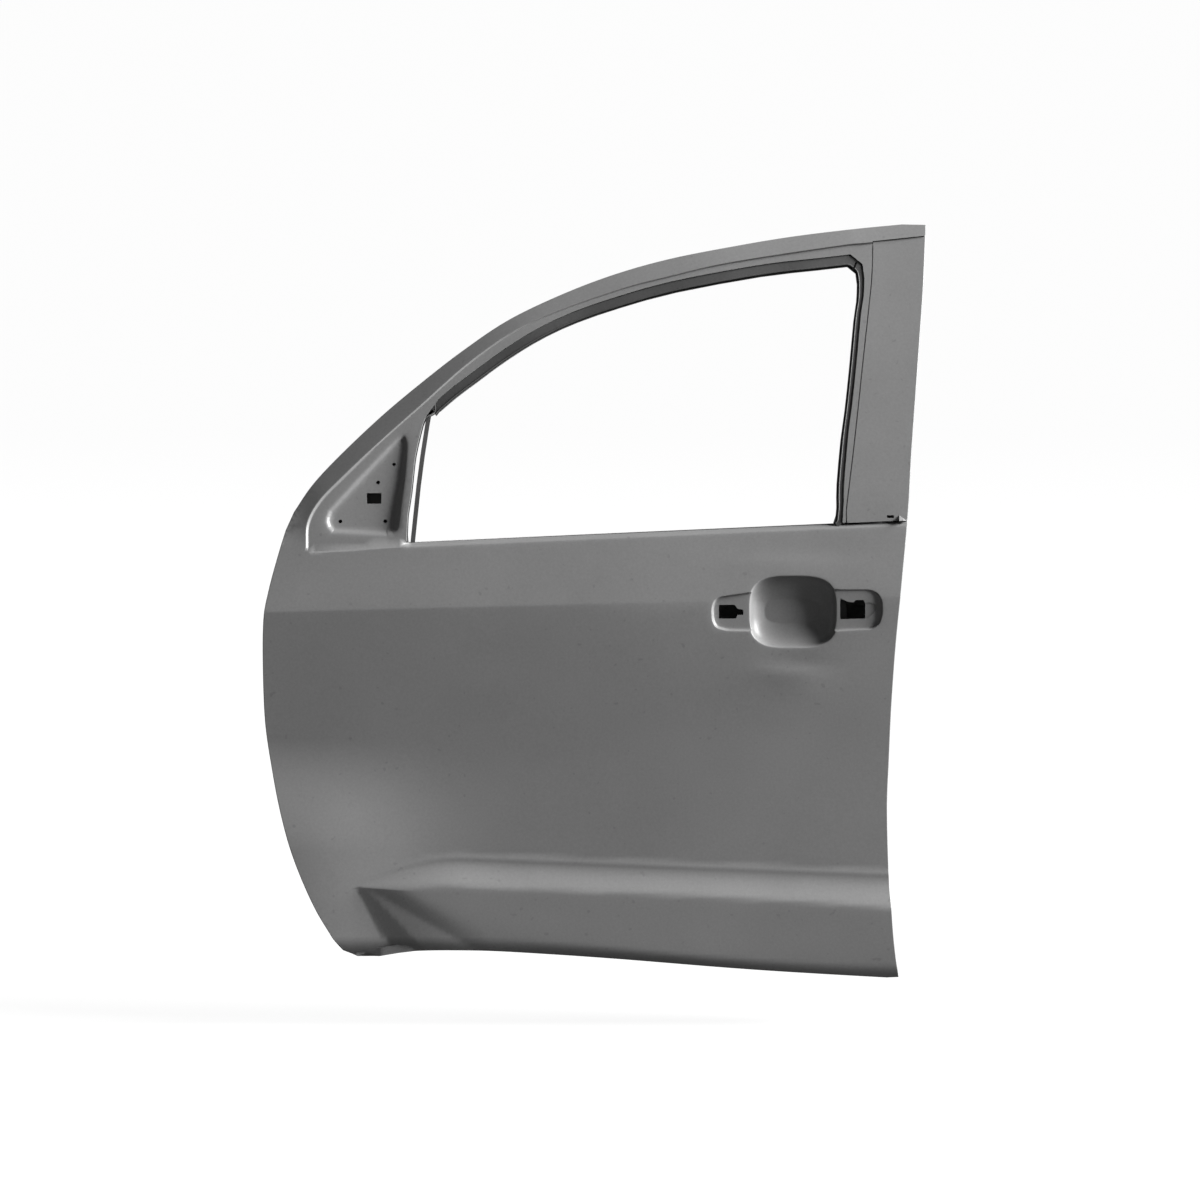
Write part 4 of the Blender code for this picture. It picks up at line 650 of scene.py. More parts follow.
OUTLINE = anticlockwise(outline_of(FRONT_EDGE, LOWER_CORNER, BOTTOM_EDGE, REAR_EDGE, ROOF_EDGE))
WINDOW = anticlockwise(
    outline_of(window_belt(WINDOW_FRONT_X), WINDOW_REAR, WINDOW_CORNER, WINDOW_TOP, WINDOW_FRONT)
)
CHANNEL_OUTLINE = raised(grown(WINDOW, CHANNEL_LIP_REAR))
STEP_CURVE = smooth_edge(STEP_LINE)
STEP_OUTLINE = anticlockwise(np.vstack([
    STEP_CURVE[::-1],
    smooth_edge([STEP_LINE[0], *SAIL_LOWER_CORNER, (SAIL_REAR_X, float(belt_z(SAIL_REAR_X)))])[1:],
    [(STEP_LINE[-1][0], float(belt_z(STEP_LINE[-1][0])) + BELT_CHAMFER_RISE)],
]))
POCKET = smooth_loop(rounded_outline(POCKET_OUTLINE, POCKET_CORNER, 2), 3)
FRONT_PAD_EDGE = rounded_outline(beside_cup(FRONT_PAD, -1), PAD_CORNER)
REAR_PAD_EDGE = rounded_outline(beside_cup(REAR_PAD, 1), PAD_CORNER)

# The glass channel's two edges, and which of their points each length has
CHANNEL_INNER = resampled(rounded_outline(WINDOW, WINDOW_CORNER_RADIUS, 3), CHANNEL_STEP)
CHANNEL_OUTER = raised(grown(CHANNEL_INNER, CHANNEL_LIP_REAR))
CHANNEL_OUTER = CHANNEL_INNER + (CHANNEL_OUTER - CHANNEL_INNER) * (1.0 - CHANNEL_GAP / CHANNEL_LIP_REAR)
CORNER = np.mean(WINDOW_CORNER, axis=0)
CHANNEL_X, CHANNEL_Z = CHANNEL_INNER[:, 0], CHANNEL_INNER[:, 1]
OVER_MITRE = (CHANNEL_Z - CORNER[1]) - (CHANNEL_X - CORNER[0])
HEADER_PART = np.flatnonzero(
    (OVER_MITRE > 0.0) & (CHANNEL_X > HEADER_CHANNEL_FRONT_X) & (CHANNEL_Z > HEADER_PART_Z)
)
REAR_PART = np.flatnonzero(
    (OVER_MITRE < -MITRE_GAP) & (CHANNEL_X > REAR_PART_X)
    & (CHANNEL_Z > belt_z(CHANNEL_X) + WINDOW_OVER_BELT + GAP)
)


def skin_opening():
    """The hole in the skin for the glass and its channels, open down to the belt edge."""
    middle_x, middle_z = WINDOW_MIDDLE
    x, z = CHANNEL_OUTLINE[:, 0], CHANNEL_OUTLINE[:, 1]
    top = CHANNEL_OUTLINE[(z > middle_z) & (x > HEADER_CHANNEL_FRONT_X)]
    top = top[np.argsort(np.arctan2(top[:, 1] - middle_z, top[:, 0] - middle_x))]
    front = smooth_edge(SAIL_REAR)
    ends = (SAIL_REAR_X, PILLAR_FRONT_EDGE[1][0] - PILLAR_UNDERLAP)
    edge = [(end, float(belt_z(end)) + BELT_CHAMFER_RISE) for end in ends]
    return anticlockwise(np.vstack([edge, top, front]))


def pillar_outline(front_in, top_up, bottom_up):
    """The region of the rear pillar panel, with its front edge moved in and its ends moved up or down."""
    front = smooth_edge(PILLAR_FRONT_EDGE, PILLAR_EDGE_STEPS)[PILLAR_EDGE_STEPS:] + (front_in, 0.0)
    top = np.array(PILLAR_TOP_EDGE) + (0.0, top_up)
    top[0, 0] += front_in
    foot = [(x, float(belt_z(x)) + BELT_CHAMFER_RISE + bottom_up) for x in (top[1, 0], front[0, 0])]
    return anticlockwise(np.vstack([front, top, foot]))


# Depths of the finished faces


def band_lift(points):
    """How much deeper the outer band of pillar and header lies: distance from the step line times a slope."""
    gap, place = nearest(points, STEP_CURVE, closed=False)
    slope = BAND_SLOPE * step((place[:, 1] - STEP_LINE[0][1]) / (BAND_START_Z - STEP_LINE[0][1]))
    outside = ~inside(points, STEP_OUTLINE) & (points[:, 1] > place[:, 1] - 0.5 * gap)
    return np.where(outside, slope * ramp(gap - BAND_SET_OFF, BAND_RADIUS), 0.0)


def surround_depth(points):
    """The step inside the step line: its depth times a smooth rise over its width."""
    depth = within(points, STEP_OUTLINE)
    _, place = nearest(points, STEP_OUTLINE)
    front = 1.0 - step((points[:, 0] - SAIL_FADE_X) / SAIL_FADE_LENGTH)
    low = front * (1.0 - step((place[:, 1] - SAIL_FADE_Z) / SAIL_FADE_HEIGHT))
    return (STEP_DEPTH + SAIL_EXTRA_DEPTH * low) * step(depth / (STEP_WIDTH + SAIL_EXTRA_WIDTH * low))


def belt_turn(x, z):
    """The top of the skin under the window, which turns inboard as a rounded sloping edge."""
    over = z - belt_z(x)
    rise = np.minimum(ramp(over, BELT_TURN_RADIUS), BELT_CHAMFER_RISE) / BELT_CHAMFER_RISE
    ends = 1.0 - step((over - BELT_CHAMFER_RISE - BELT_TURN_OVER) / BELT_TURN_FADE)
    behind_sail = step((x - SAIL_REAR_X + BELT_TURN_START) / (2 * BELT_TURN_START))
    return BELT_CHAMFER_DEPTH * rise * ends * behind_sail


def pocket_y(points):
    """The mirror pocket: a flat floor that leans in with the sail, and a sloping wall round it."""
    depth = near_only(points, POCKET, POCKET_REACH, lambda p: within(p, POCKET))
    floor = POCKET_FLOOR_Y - POCKET_LIFT + POCKET_LEAN * (points[:, 1] - POCKET_FLOOR_Z)
    return floor - POCKET_SLOPE * ramp(POCKET_SHOULDER - depth, POCKET_FILLET)


def cup_section(share):
    """The cup's half length and half height at a depth, as shares of those at its mouth."""
    return [1.0 - steady * share - late * share**CUP_FLOOR_POWER for steady, late in CUP_TAPERS]


def cup_share(points):
    """How deep a place lies in the handle cup, from 0 at its mouth to 1 on its floor.

    The cup's section at each depth is a squircle that shrinks towards the floor, more in height than in
    length. The depth whose section passes through the place is found by halving.
    """
    u = np.abs(points[:, 0] - CUP_X) / CUP_HALF_LENGTH
    v = np.abs(points[:, 1] - CUP_Z) / CUP_HALF_HEIGHT
    low, high = np.zeros(len(points)), np.ones(len(points))
    for _ in range(CUP_HALVINGS):
        share = 0.5 * (low + high)
        length, height = cup_section(share)
        deeper = (u / length) ** CUP_POWER + (v / height) ** CUP_POWER < 1.0
        low = np.where(deeper, share, low)
        high = np.where(deeper, high, share)
    beyond = (u**CUP_POWER + v**CUP_POWER) ** (1.0 / CUP_POWER) - 1.0
    return 0.5 * (low + high) - CUP_MOUTH_FLARE * np.maximum(beyond, 0.0)


def cup_y(points):
    """The handle cup: its mouth's depth plus the share of its own depth."""
    return CUP_MOUTH_Y + CUP_DEPTH * near_only(points, CUP_BOX, CUP_REACH, cup_share)


CUP_BOX = np.array((
    (CUP_X - 0.5 * CUP_HALF_LENGTH, CUP_Z - 0.5 * CUP_HALF_HEIGHT),
    (CUP_X + 0.5 * CUP_HALF_LENGTH, CUP_Z + 0.5 * CUP_HALF_HEIGHT),
))


def pad_y(points, outline):
    """One flat pad beside the cup, with a short sloping wall round it."""
    depth = near_only(points, outline, PAD_REACH, lambda p: within(p, outline))
    return PAD_FLOOR_Y - PAD_SLOPE * ramp(PAD_WALL - depth, PAD_FILLET)


def roll(depth):
    """How far the edge turns in at a distance inside the outline: a quarter circle."""
    near = np.clip(ROLL_RADIUS - depth, 0.0, ROLL_RADIUS)
    return ROLL_RADIUS - np.sqrt(ROLL_RADIUS**2 - near**2)


def frame_face(points):
    """The skin's face with its outer band, shared by the skin and the pillar panel."""
    x, z = points[:, 0], points[:, 1]
    return skin_y(x, z) + band_lift(points)


def skin_face(points, with_roll=True):
    """The outer skin's finished face at each place (x, z)."""
    x, z = points[:, 0], points[:, 1]
    y = frame_face(points) + surround_depth(points) + belt_turn(x, z)
    y = most(y, pocket_y(points), POCKET_EDGE_RADIUS)
    y = most(y, pad_y(points, FRONT_PAD_EDGE), PAD_EDGE_RADIUS)
    y = most(y, pad_y(points, REAR_PAD_EDGE), PAD_EDGE_RADIUS)
    y = most(y, cup_y(points), CUP_EDGE_RADIUS)
    if with_roll:
        y = y + roll(within(points, EDGE))
    return y


def pillar_face(points, with_roll=True):
    """The rear pillar panel's finished face at each place (x, z)."""
    y = frame_face(points) + STEP_DEPTH
    if with_roll:
        y = y + roll(within(points, EDGE))
        y = y + roll(within(points, PILLAR_EDGE))
    return y


EDGE = grown(OUTLINE, -EDGE_INSET)
PILLAR_EDGE = pillar_outline(PILLAR_SEAM, WELL_PAST, -WELL_PAST)


# Meshes


def joined(count, start, loop=True):
    """Edges along a run of points that starts at a place in the list."""
    ahead = np.arange(start, start + count)
    behind = np.roll(ahead, -1)
    pairs = np.column_stack([ahead, behind])
    return pairs if loop else pairs[:-1]


class Layout:
    """Points of a flat layout in (x, z), with the lines that the triangles must follow."""

    def __init__(self, region):
        self.region = region
        self.points = []
        self.edges = []
        self.taken = []
        self.count = 0

    def add(self, points, links):
        """Adds points, and the edges between them counted from the first of them."""
        self.points.append(points)
        self.edges.append(links + self.count)
        self.count += len(points)

    def loop(self, outline, spacing):
        """A boundary, kept whole."""
        points = resampled(outline, spacing)
        self.add(points, joined(len(points), 0))

    def free(self, points):
        """True where a point lies in the region and clear of what has been laid so far."""
        keep = np.ones(len(points), bool)
        for outline, sign, margin in self.region:
            keep &= sign * within(points, outline) > margin
        for path, closed, reach in self.taken:
            low, high = np.min(path, axis=0) - reach, np.max(path, axis=0) + reach
            close = keep & ((points > low) & (points < high)).all(axis=1)
            gap, _ = nearest(points[close], path, closed)
            keep[np.flatnonzero(close)[gap < reach]] = False
        return keep

    def lines(self, paths, closed):
        """Guide lines: their points where they are free, joined where two that follow each other both are."""
        for path in paths:
            keep = self.free(path)
            index = np.cumsum(keep) - 1
            pairs = joined(len(path), 0, closed)
            pairs = pairs[keep[pairs].all(axis=1)]
            self.add(path[keep], index[pairs])

    def take(self, path, closed, reach):
        """Keeps later points this far from a path."""
        self.taken.append((np.asarray(path, float), closed, reach))

    def grid(self, outline):
        """Fills what is free in an outline's box with rows of points, every second row half a step over."""
        low, high = outline.min(axis=0), outline.max(axis=0)
        x = np.arange(low[0], high[0], GRID_STEP)
        z = np.arange(low[1], high[1], GRID_STEP)
        across = x[None, :] + np.where(np.arange(len(z)) % 2 == 0, 0.0, GRID_STEP / 2)[:, None]
        points = np.column_stack([across.reshape(-1), np.repeat(z, len(x))])
        self.add(points[self.free(points)], np.zeros((0, 2), int))

    def triangles(self):
        """Triangles over the layout that lie in the region, and their points."""
        points = np.vstack(self.points)
        edges = np.vstack(self.edges)
        made = delaunay_2d_cdt([Vector(p) for p in points.tolist()], edges.tolist(), [], 0, 1e-7)
        flat = np.array([tuple(v) for v in made[0]])
        faces = np.array([face for face in made[2] if len(face) == 3])
        middle = flat[faces].mean(axis=1)
        keep = np.ones(len(faces), bool)
        for outline, sign, _ in self.region:
            keep &= inside(middle, outline) == (sign > 0)
        faces = faces[keep]
        used, faces = np.unique(faces, return_inverse=True)
        faces = faces.reshape(-1, 3)
        flat = flat[used]
        a, b, c = (flat[faces[:, i]] for i in range(3))
        turn = (b[:, 0] - a[:, 0]) * (c[:, 1] - a[:, 1]) - (b[:, 1] - a[:, 1]) * (c[:, 0] - a[:, 0])
        faces[turn < 0] = faces[turn < 0][:, ::-1]
        return flat, faces


def boundary_of(faces):
    """The edges that have one face, each in the direction that keeps the sheet on its left."""
    ends = np.concatenate([faces[:, [0, 1]], faces[:, [1, 2]], faces[:, [2, 0]]])
    key = np.sort(ends, axis=1)
    _, index, count = np.unique(key, axis=0, return_inverse=True, return_counts=True)
    return ends[count[index.reshape(-1)] == 1]


def gradient_normals(face_at, flat):
    """The way out of a face y = f(x, z) at each place, from its slope over a small probe."""
    dx, dz = np.array((PROBE, 0.0)), np.array((0.0, PROBE))
    slope_x = (face_at(flat + dx) - face_at(flat - dx)) / (2 * PROBE)
    slope_z = (face_at(flat + dz) - face_at(flat - dz)) / (2 * PROBE)
    normals = np.column_stack([slope_x, -np.ones(len(flat)), slope_z])
    return normals / np.linalg.norm(normals, axis=1, keepdims=True)


def folded_sheet(name, face_at, flat, faces, folds):
    """A closed sheet: the face, the same a sheet thickness further in, and folds or plain walls round it.

    Each fold is (test, chain): the boundary points that pass the test are carried along the chain of
    (distance in from the edge, depth behind the face) before they meet the back.
    """
    count = len(flat)
    front_y = face_at(flat)
    front = np.column_stack([flat[:, 0], front_y, flat[:, 1]])
    back = front + (0.0, SKIN_SHEET, 0.0)
    rim = boundary_of(faces)
    ahead = flat[rim[:, 1]] - flat[rim[:, 0]]
    ahead /= np.maximum(np.linalg.norm(ahead, axis=1, keepdims=True), 1e-12)
    left = np.column_stack([-ahead[:, 1], ahead[:, 0]])
    inward = np.zeros_like(flat)
    for side in (0, 1):
        np.add.at(inward, rim[:, side], left)
    size = np.linalg.norm(inward, axis=1, keepdims=True)
    inward = inward / np.maximum(size, 1e-9)
    rows = [front, back]
    quads = []
    plain = np.ones(len(rim), bool)
    start = 2 * count
    for test, chain in folds:
        chosen = test(flat[rim[:, 0]]) & test(flat[rim[:, 1]]) & plain
        plain &= ~chosen
        ends = rim[chosen]
        used, pairs = np.unique(ends, return_inverse=True)
        pairs = pairs.reshape(-1, 2)
        previous = used
        for inset, depth in chain:
            place = flat[used] + inward[used] * inset
            rows.append(np.column_stack([place[:, 0], face_at(place, False) + depth, place[:, 1]]))
            current = np.arange(start, start + len(used))
            start += len(used)
            quads.append(np.column_stack([
                previous[pairs[:, 1]], previous[pairs[:, 0]], current[pairs[:, 0]], current[pairs[:, 1]],
            ]))
            previous = current
        last = used + count
        quads.append(np.column_stack([
            previous[pairs[:, 1]], previous[pairs[:, 0]], last[pairs[:, 0]], last[pairs[:, 1]],
        ]))
        back_edge = place_back_edge(flat, inward, used)
        back[used, 0], back[used, 2] = back_edge[:, 0], back_edge[:, 1]
    ends = rim[plain]
    quads.append(np.column_stack([ends[:, 1], ends[:, 0], ends[:, 0] + count, ends[:, 1] + count]))
    normals = gradient_normals(face_at, flat)
    return mesh_object(name, np.vstack(rows), [faces, faces[:, ::-1] + count], quads, (faces, normals))


def place_back_edge(flat, inward, used):
    """The back's edge under a fold, a little in from the front's so that the two don't touch."""
    return flat[used] + inward[used] * FOLD_CLEAR


def mesh_object(name, points, triangles, quads, fixed=None):
    """A mesh from whole arrays, set at the world's origin, with given normals on its first faces."""
    tri = np.vstack(triangles) if triangles else np.zeros((0, 3), int)
    quad = np.vstack(quads) if quads else np.zeros((0, 4), int)
    mesh = bpy.data.meshes.new(name)
    corners = np.concatenate([tri.reshape(-1), quad.reshape(-1)]).astype(np.int32)
    starts = np.concatenate([np.arange(len(tri)) * 3, len(tri) * 3 + np.arange(len(quad)) * 4])
    mesh.vertices.add(len(points))
    mesh.vertices.foreach_set("co", (points - ORIGIN).astype(np.float32).reshape(-1))
    mesh.loops.add(len(corners))
    mesh.loops.foreach_set("vertex_index", corners)
    mesh.polygons.add(len(starts))
    mesh.polygons.foreach_set("loop_start", starts.astype(np.int32))
    mesh.update(calc_edges=True)
    mesh.validate()
    mesh.shade_smooth()
    mesh.set_sharp_from_angle(angle=math.radians(FACE_SHARP_DEGREES))
    if fixed is not None and len(mesh.loops) == len(corners):
        faces, normals = fixed
        loops = np.zeros((len(corners), 3), np.float32)
        loops[: faces.size] = normals[faces.reshape(-1)]
        mesh.normals_split_custom_set(loops.tolist())
    obj = bpy.data.objects.new(name, mesh)
    bpy.context.scene.collection.objects.link(obj)
    return obj


# The sheets


def follow(height_at, offset, low_x, high_x):
    """A guide line that keeps its distance from a feature line."""
    x = np.arange(low_x, high_x, GRID_STEP)
    return np.column_stack([x, height_at(x) + offset])


def mirror_holes():
    """Outlines of the holes in the mirror pocket's floor."""
    x0, z0, x1, z1 = MIRROR_WINDOW
    holes = [rounded_outline([(x0, z0), (x1, z0), (x1, z1), (x0, z1)], SMALL_CORNER)]
    holes += [circle(x, z, MIRROR_HOLE_RADIUS) for x, z in MIRROR_HOLES]
    holes.append(circle(*MIRROR_SIGHT_HOLE, MIRROR_SIGHT_HOLE_RADIUS))
    return holes


def lay_handle(layout):
    """Guide lines of the cup, as squircles that shrink with its sections, and of the pads beside it."""
    angle = (np.arange(CUP_RING_POINTS) + 0.5) * 2 * math.pi / CUP_RING_POINTS
    around = np.column_stack([np.cos(angle), np.sin(angle)])
    ring = np.sign(around) * np.abs(around) ** (2 / CUP_POWER)
    half = np.array((CUP_HALF_LENGTH, CUP_HALF_HEIGHT))
    centre = np.array((CUP_X, CUP_Z))
    rings = [centre + ring * (half + outside) for outside in CUP_LINES]
    rings += [centre + ring * (half * cup_section(share)) for share in CUP_SHARES]
    rings.append(centre + ring * half * CUP_FLOOR_RING)
    layout.lines(rings, True)
    layout.take(rings[0], True, CUP_CLEAR)
    for pad in (FRONT_PAD_EDGE, REAR_PAD_EDGE):
        pad_points = resampled(pad, PAD_STEP)
        layout.take(centre + ring * (half + PAD_OFF_CUP), True, PAD_OFF_CUP_CLEAR)
        layout.lines([resampled(grown(pad_points, inset), PAD_STEP) for inset in PAD_LINES], True)
        layout.take(pad, True, PAD_CLEAR)
    layout.take(centre + ring * half * CUP_INNER_RING, True, CUP_INNER_CLEAR)


def lay_creases(layout):
    """Guide lines along the step line, the belt edge and the creases."""
    step_points = resampled(STEP_CURVE, STEP_LINE_STEP, False)
    ahead = np.gradient(step_points, axis=0)
    ahead /= np.linalg.norm(ahead, axis=1, keepdims=True)
    outward = np.column_stack([-ahead[:, 1], ahead[:, 0]])
    layout.lines([step_points + outward * out for out in STEP_LINES], False)
    layout.take(STEP_CURVE, False, STEP_CLEAR)
    window_x = (SAIL_REAR_X - BELT_LINES_EARLY, PILLAR_FRONT_EDGE[0][0] + BELT_LINES_PAST)
    layout.lines([follow(belt_z, offset, *window_x) for offset in BELT_LINES], False)
    creases = (
        (belt_z, CREASE_LINES[:5]), (shoulder_z, CREASE_LINES), (sill_z, CREASE_LINES),
        (hollow_z, CREASE_LINES),
    )
    for height_at, offsets in creases:
        layout.lines([follow(height_at, offset, *WHOLE_LENGTH) for offset in offsets], False)
        layout.take(follow(height_at, 0.0, *WHOLE_LENGTH), False, CREASE_CLEAR)


def skin_layout():
    """The flat layout of the outer skin, with its guide lines along every crease and recess."""
    opening = skin_opening()
    pillar = pillar_outline(0.0, SKIN_SHEET + PILLAR_SEAM, 0.0)
    holes = mirror_holes()
    holes.append(rounded_outline(beside_cup(FRONT_HOLE, -1), HANDLE_HOLE_CORNER, 3))
    holes.append(rounded_outline(beside_cup(REAR_HOLE, 1), HANDLE_HOLE_CORNER, 3))
    region = [(EDGE, 1, INSIDE_MARGIN)]
    region += [(hole, -1, HOLE_MARGIN) for hole in holes]
    region += [(opening, -1, OPENING_MARGIN), (pillar, -1, OPENING_MARGIN)]
    layout = Layout(region)
    for outline in (EDGE, opening, pillar):
        layout.loop(outline, BOUNDARY_STEP)
    for hole in holes:
        layout.loop(hole, HOLE_STEP)
    edge_points = resampled(EDGE, BOUNDARY_STEP)
    layout.lines([grown(edge_points, -inset) for inset in EDGE_LINES], True)
    layout.take(EDGE, True, EDGE_CLEAR)
    layout.lines([grown(resampled(hole, HOLE_STEP), HOLE_STEP) for hole in holes], True)
    for hole in holes:
        layout.take(hole, True, HOLE_CLEAR)
    pocket = resampled(POCKET, POCKET_STEP)
    layout.lines([grown(pocket, inset) for inset in POCKET_LINES], True)
    layout.take(POCKET, True, POCKET_CLEAR)
    lay_handle(layout)
    lay_creases(layout)
    layout.grid(OUTLINE)
    return layout


def edge_test(path, closed=True):
    """A test for boundary points that lie on a path."""
    def test(points):
        gap, _ = nearest(points, path, closed)
        return gap < ON_EDGE
    return test


def hem_chain(slot):
    """The hem as (distance in, depth): round the inner panel's flange and back inward."""
    outside = 2 * SKIN_SHEET + slot
    bend = [(inset, outside - short) for inset, short in HEM_BEND]
    back = [(inset, outside - SKIN_SHEET - short) for inset, short in HEM_BACK]
    return [(0.0, FOLD_START), *bend, (HEM_WIDTH, outside), (HEM_WIDTH, outside - SKIN_SHEET), *back]


def flange_chain(depth):
    """A short flange turned inboard, with a rounded bend."""
    return (
        (0.0, FOLD_START), (0.0, depth), (SKIN_SHEET, depth), (SKIN_SHEET, FOLD_START + GAP),
    )


def draw_outer_skin():
    """The outer skin from its layout and its face formula, hemmed round the outline."""
    flat, faces = skin_layout().triangles()
    hem = (edge_test(EDGE), hem_chain(INNER_SHEET + 2 * HEM_PLAY))
    return folded_sheet("skin_outer", skin_face, flat, faces, [hem])


def pillar_layout():
    """The flat layout of the rear post's panel, with its slot and guide lines along its edges."""
    middle = np.array((PILLAR_SLOT_X, float(belt_z(PILLAR_SLOT_X)) + PILLAR_SLOT_OVER_BELT))
    half = np.array((PILLAR_SLOT_LENGTH / 2, PILLAR_SLOT_HEIGHT / 2))
    corners = ((-1, -1), (1, -1), (1, 1), (-1, 1))
    slot = rounded_outline([middle + half * corner for corner in corners], SMALL_CORNER)
    panel = pillar_outline(PILLAR_SEAM, PILLAR_LAP, PILLAR_SEAM)
    layout = Layout([(EDGE, 1, INSIDE_MARGIN), (panel, 1, INSIDE_MARGIN), (slot, -1, HOLE_MARGIN)])
    for outline in (EDGE, panel):
        layout.loop(outline, BOUNDARY_STEP)
    layout.loop(slot, HOLE_STEP)
    for outline in (EDGE, panel):
        layout.lines([grown(resampled(outline, BOUNDARY_STEP), -inset) for inset in EDGE_LINES], True)
    for outline in (EDGE, panel):
        layout.take(outline, True, EDGE_CLEAR)
    layout.take(slot, True, SLOT_CLEAR)
    layout.grid(panel)
    return layout


def draw_pillar_panel():
    """The rear post's outer panel: hemmed at the rear and flanged along its front edge."""
    flat, faces = pillar_layout().triangles()
    hem = (edge_test(EDGE), hem_chain(INNER_SHEET + 2 * HEM_PLAY))
    front = smooth_edge(PILLAR_FRONT_EDGE, PILLAR_EDGE_STEPS) + (PILLAR_SEAM, 0.0)
    flange = (edge_test(front, False), flange_chain(PILLAR_FLANGE))
    return folded_sheet("skin_rear_pillar", pillar_face, flat, faces, [hem, flange])


def draw_channel(name, chosen):
    """One length of the glass channel: a U section open to the glass, with a rolled bead along its near lip.

    The section's places are shares of the way from the window's edge to the channel's own outer edge, and
    depths behind the skin's face. Its outside and its inside have as many points, so that a strip of quads
    closes each end.
    """
    inner, outer = CHANNEL_INNER[chosen], CHANNEL_OUTER[chosen]
    width = np.linalg.norm(outer - inner, axis=1)[:, None]
    near, far = CHANNEL_SET_BACK, CHANNEL_SET_BACK + CHANNEL_WIDTH
    turn = np.linspace(0.0, math.pi, CHANNEL_BEAD_POINTS)
    bead_at = CHANNEL_BEAD * (0.5 - 0.5 * np.cos(turn)) / width
    bead_rise = near - CHANNEL_BEAD_RISE * np.sin(turn)
    one, none = np.ones_like(width), np.zeros_like(width)
    edge = one - CHANNEL_SHEET / width
    outside = np.hstack([bead_at, one, one, none])
    inside_share = np.hstack([bead_at, edge, edge, none])
    outside_depth = np.array((*bead_rise, near, far, far))
    near_in, far_in = near + CHANNEL_SHEET, far - CHANNEL_SHEET
    inside_depth = np.array((*np.full(CHANNEL_BEAD_POINTS + 1, near_in), far_in, far_in))
    share = np.hstack([outside, inside_share[:, ::-1]])
    depth = np.concatenate([outside_depth, inside_depth[::-1]])
    flat = inner[:, None] + (outer - inner)[:, None] * share[:, :, None]
    y = skin_y(flat[..., 0], flat[..., 1]) + depth
    points = np.stack([flat[..., 0], y, flat[..., 1]], axis=2)
    return swept(name, points)


def swept(name, points):
    """A closed body through equal closed sections, as (section, place, xyz), with a strip over each end."""
    rows, count = points.shape[:2]
    index = np.arange(rows * count).reshape(rows, count)
    ahead = np.roll(index, -1, axis=1)
    sides = np.stack([index[:-1], ahead[:-1], ahead[1:], index[1:]], axis=2).reshape(-1, 4)
    half = count // 2
    low, high = np.arange(half - 1), count - 1 - np.arange(half - 1)
    strip = np.column_stack([low, high, high - 1, low + 1])
    quads = np.vstack([sides, index[0][strip], index[-1][strip[:, ::-1]]])
    flat = points.reshape(-1, 3)
    a, b, c, d = (flat[quads[:, i]] for i in range(4))
    volume = (np.cross(b - a, c - a) * a).sum() + (np.cross(c - a, d - a) * a).sum()
    if volume < 0:
        quads = quads[:, ::-1]
    return mesh_object(name, flat, [], [quads])


def cad_depths(names, points):
    """How far inboard the CAD's own outer faces lie at each place (x, z), or not a number where none does."""
    depths = np.full(len(points), np.nan)
    for name in names:
        mesh = frame["nodes"][name].data
        mesh.calc_loop_triangles()
        corners = np.empty(len(mesh.vertices) * 3, np.float32)
        mesh.vertices.foreach_get("co", corners)
        faces = np.empty(len(mesh.loop_triangles) * 3, np.int32)
        mesh.loop_triangles.foreach_get("vertices", faces)
        world = corners.reshape(-1, 3) + ORIGIN
        tree = BVHTree.FromPolygons(world.tolist(), faces.reshape(-1, 3).tolist())
        for index in np.flatnonzero(np.isnan(depths)):
            hit = tree.ray_cast((points[index, 0], -1.0, points[index, 1]), (0.0, 1.0, 0.0))[0]
            if hit is not None:
                depths[index] = hit.y
    return depths


def draw_inner_panel():
    """The inner stamping, with its rim cut finer and laid under the drawn skin as it lies under the CAD's.

    Each place near the skin moves by how far the drawn skin lies from the CAD's there, times a share that
    falls from 1 to 0 with its distance behind the skin. Round the mirror pocket nothing moves.
    """
    body = bmesh.new()
    body.from_mesh(frame["nodes"]["inner_panel"].data)
    bmesh.ops.remove_doubles(body, verts=body.verts, dist=1e-6)
    for _ in range(RIM_HALVINGS):
        places = np.array([vert.co for vert in body.verts]) + ORIGIN
        near = places[:, 1] - frame_face(places[:, [0, 2]]) < RIM_REACH
        body.verts.index_update()
        long = [
            edge for edge in body.edges
            if near[edge.verts[0].index] and near[edge.verts[1].index] and edge.calc_length() > RIM_STEP
        ]
        bmesh.ops.subdivide_edges(body, edges=long, cuts=1)
        bmesh.ops.triangulate(body, faces=[face for face in body.faces if len(face.verts) > 3])
    places = np.array([vert.co for vert in body.verts]) + ORIGIN
    flat = places[:, [0, 2]]
    coarse = cad_depths(("outer_skin", "rear_pillar_panel"), flat)
    fine = np.where(inside(flat, PILLAR_EDGE), pillar_face(flat, False), skin_face(flat, False))
    behind = places[:, 1] - coarse
    share = step((RIM_FAR - behind) / (RIM_FAR - RIM_REACH)) * (within(flat, POCKET) < -POCKET_WALL)
    shift = np.nan_to_num((fine - coarse) * share)
    deepest = places[:, 1].max()
    places[:, 1] = np.minimum(places[:, 1] + np.clip(shift, -RIM_MOST, RIM_MOST), deepest)
    mesh = bpy.data.meshes.new("panel_inner")
    body.to_mesh(mesh)
    body.free()
    mesh.vertices.foreach_set("co", (places - ORIGIN).astype(np.float32).reshape(-1))
    mesh.update()
    mesh.shade_smooth()
    mesh.set_sharp_from_angle(angle=math.radians(PANEL_SHARP_DEGREES))
    obj = bpy.data.objects.new("panel_inner", mesh)
    bpy.context.scene.collection.objects.link(obj)
    return obj


# Finishes


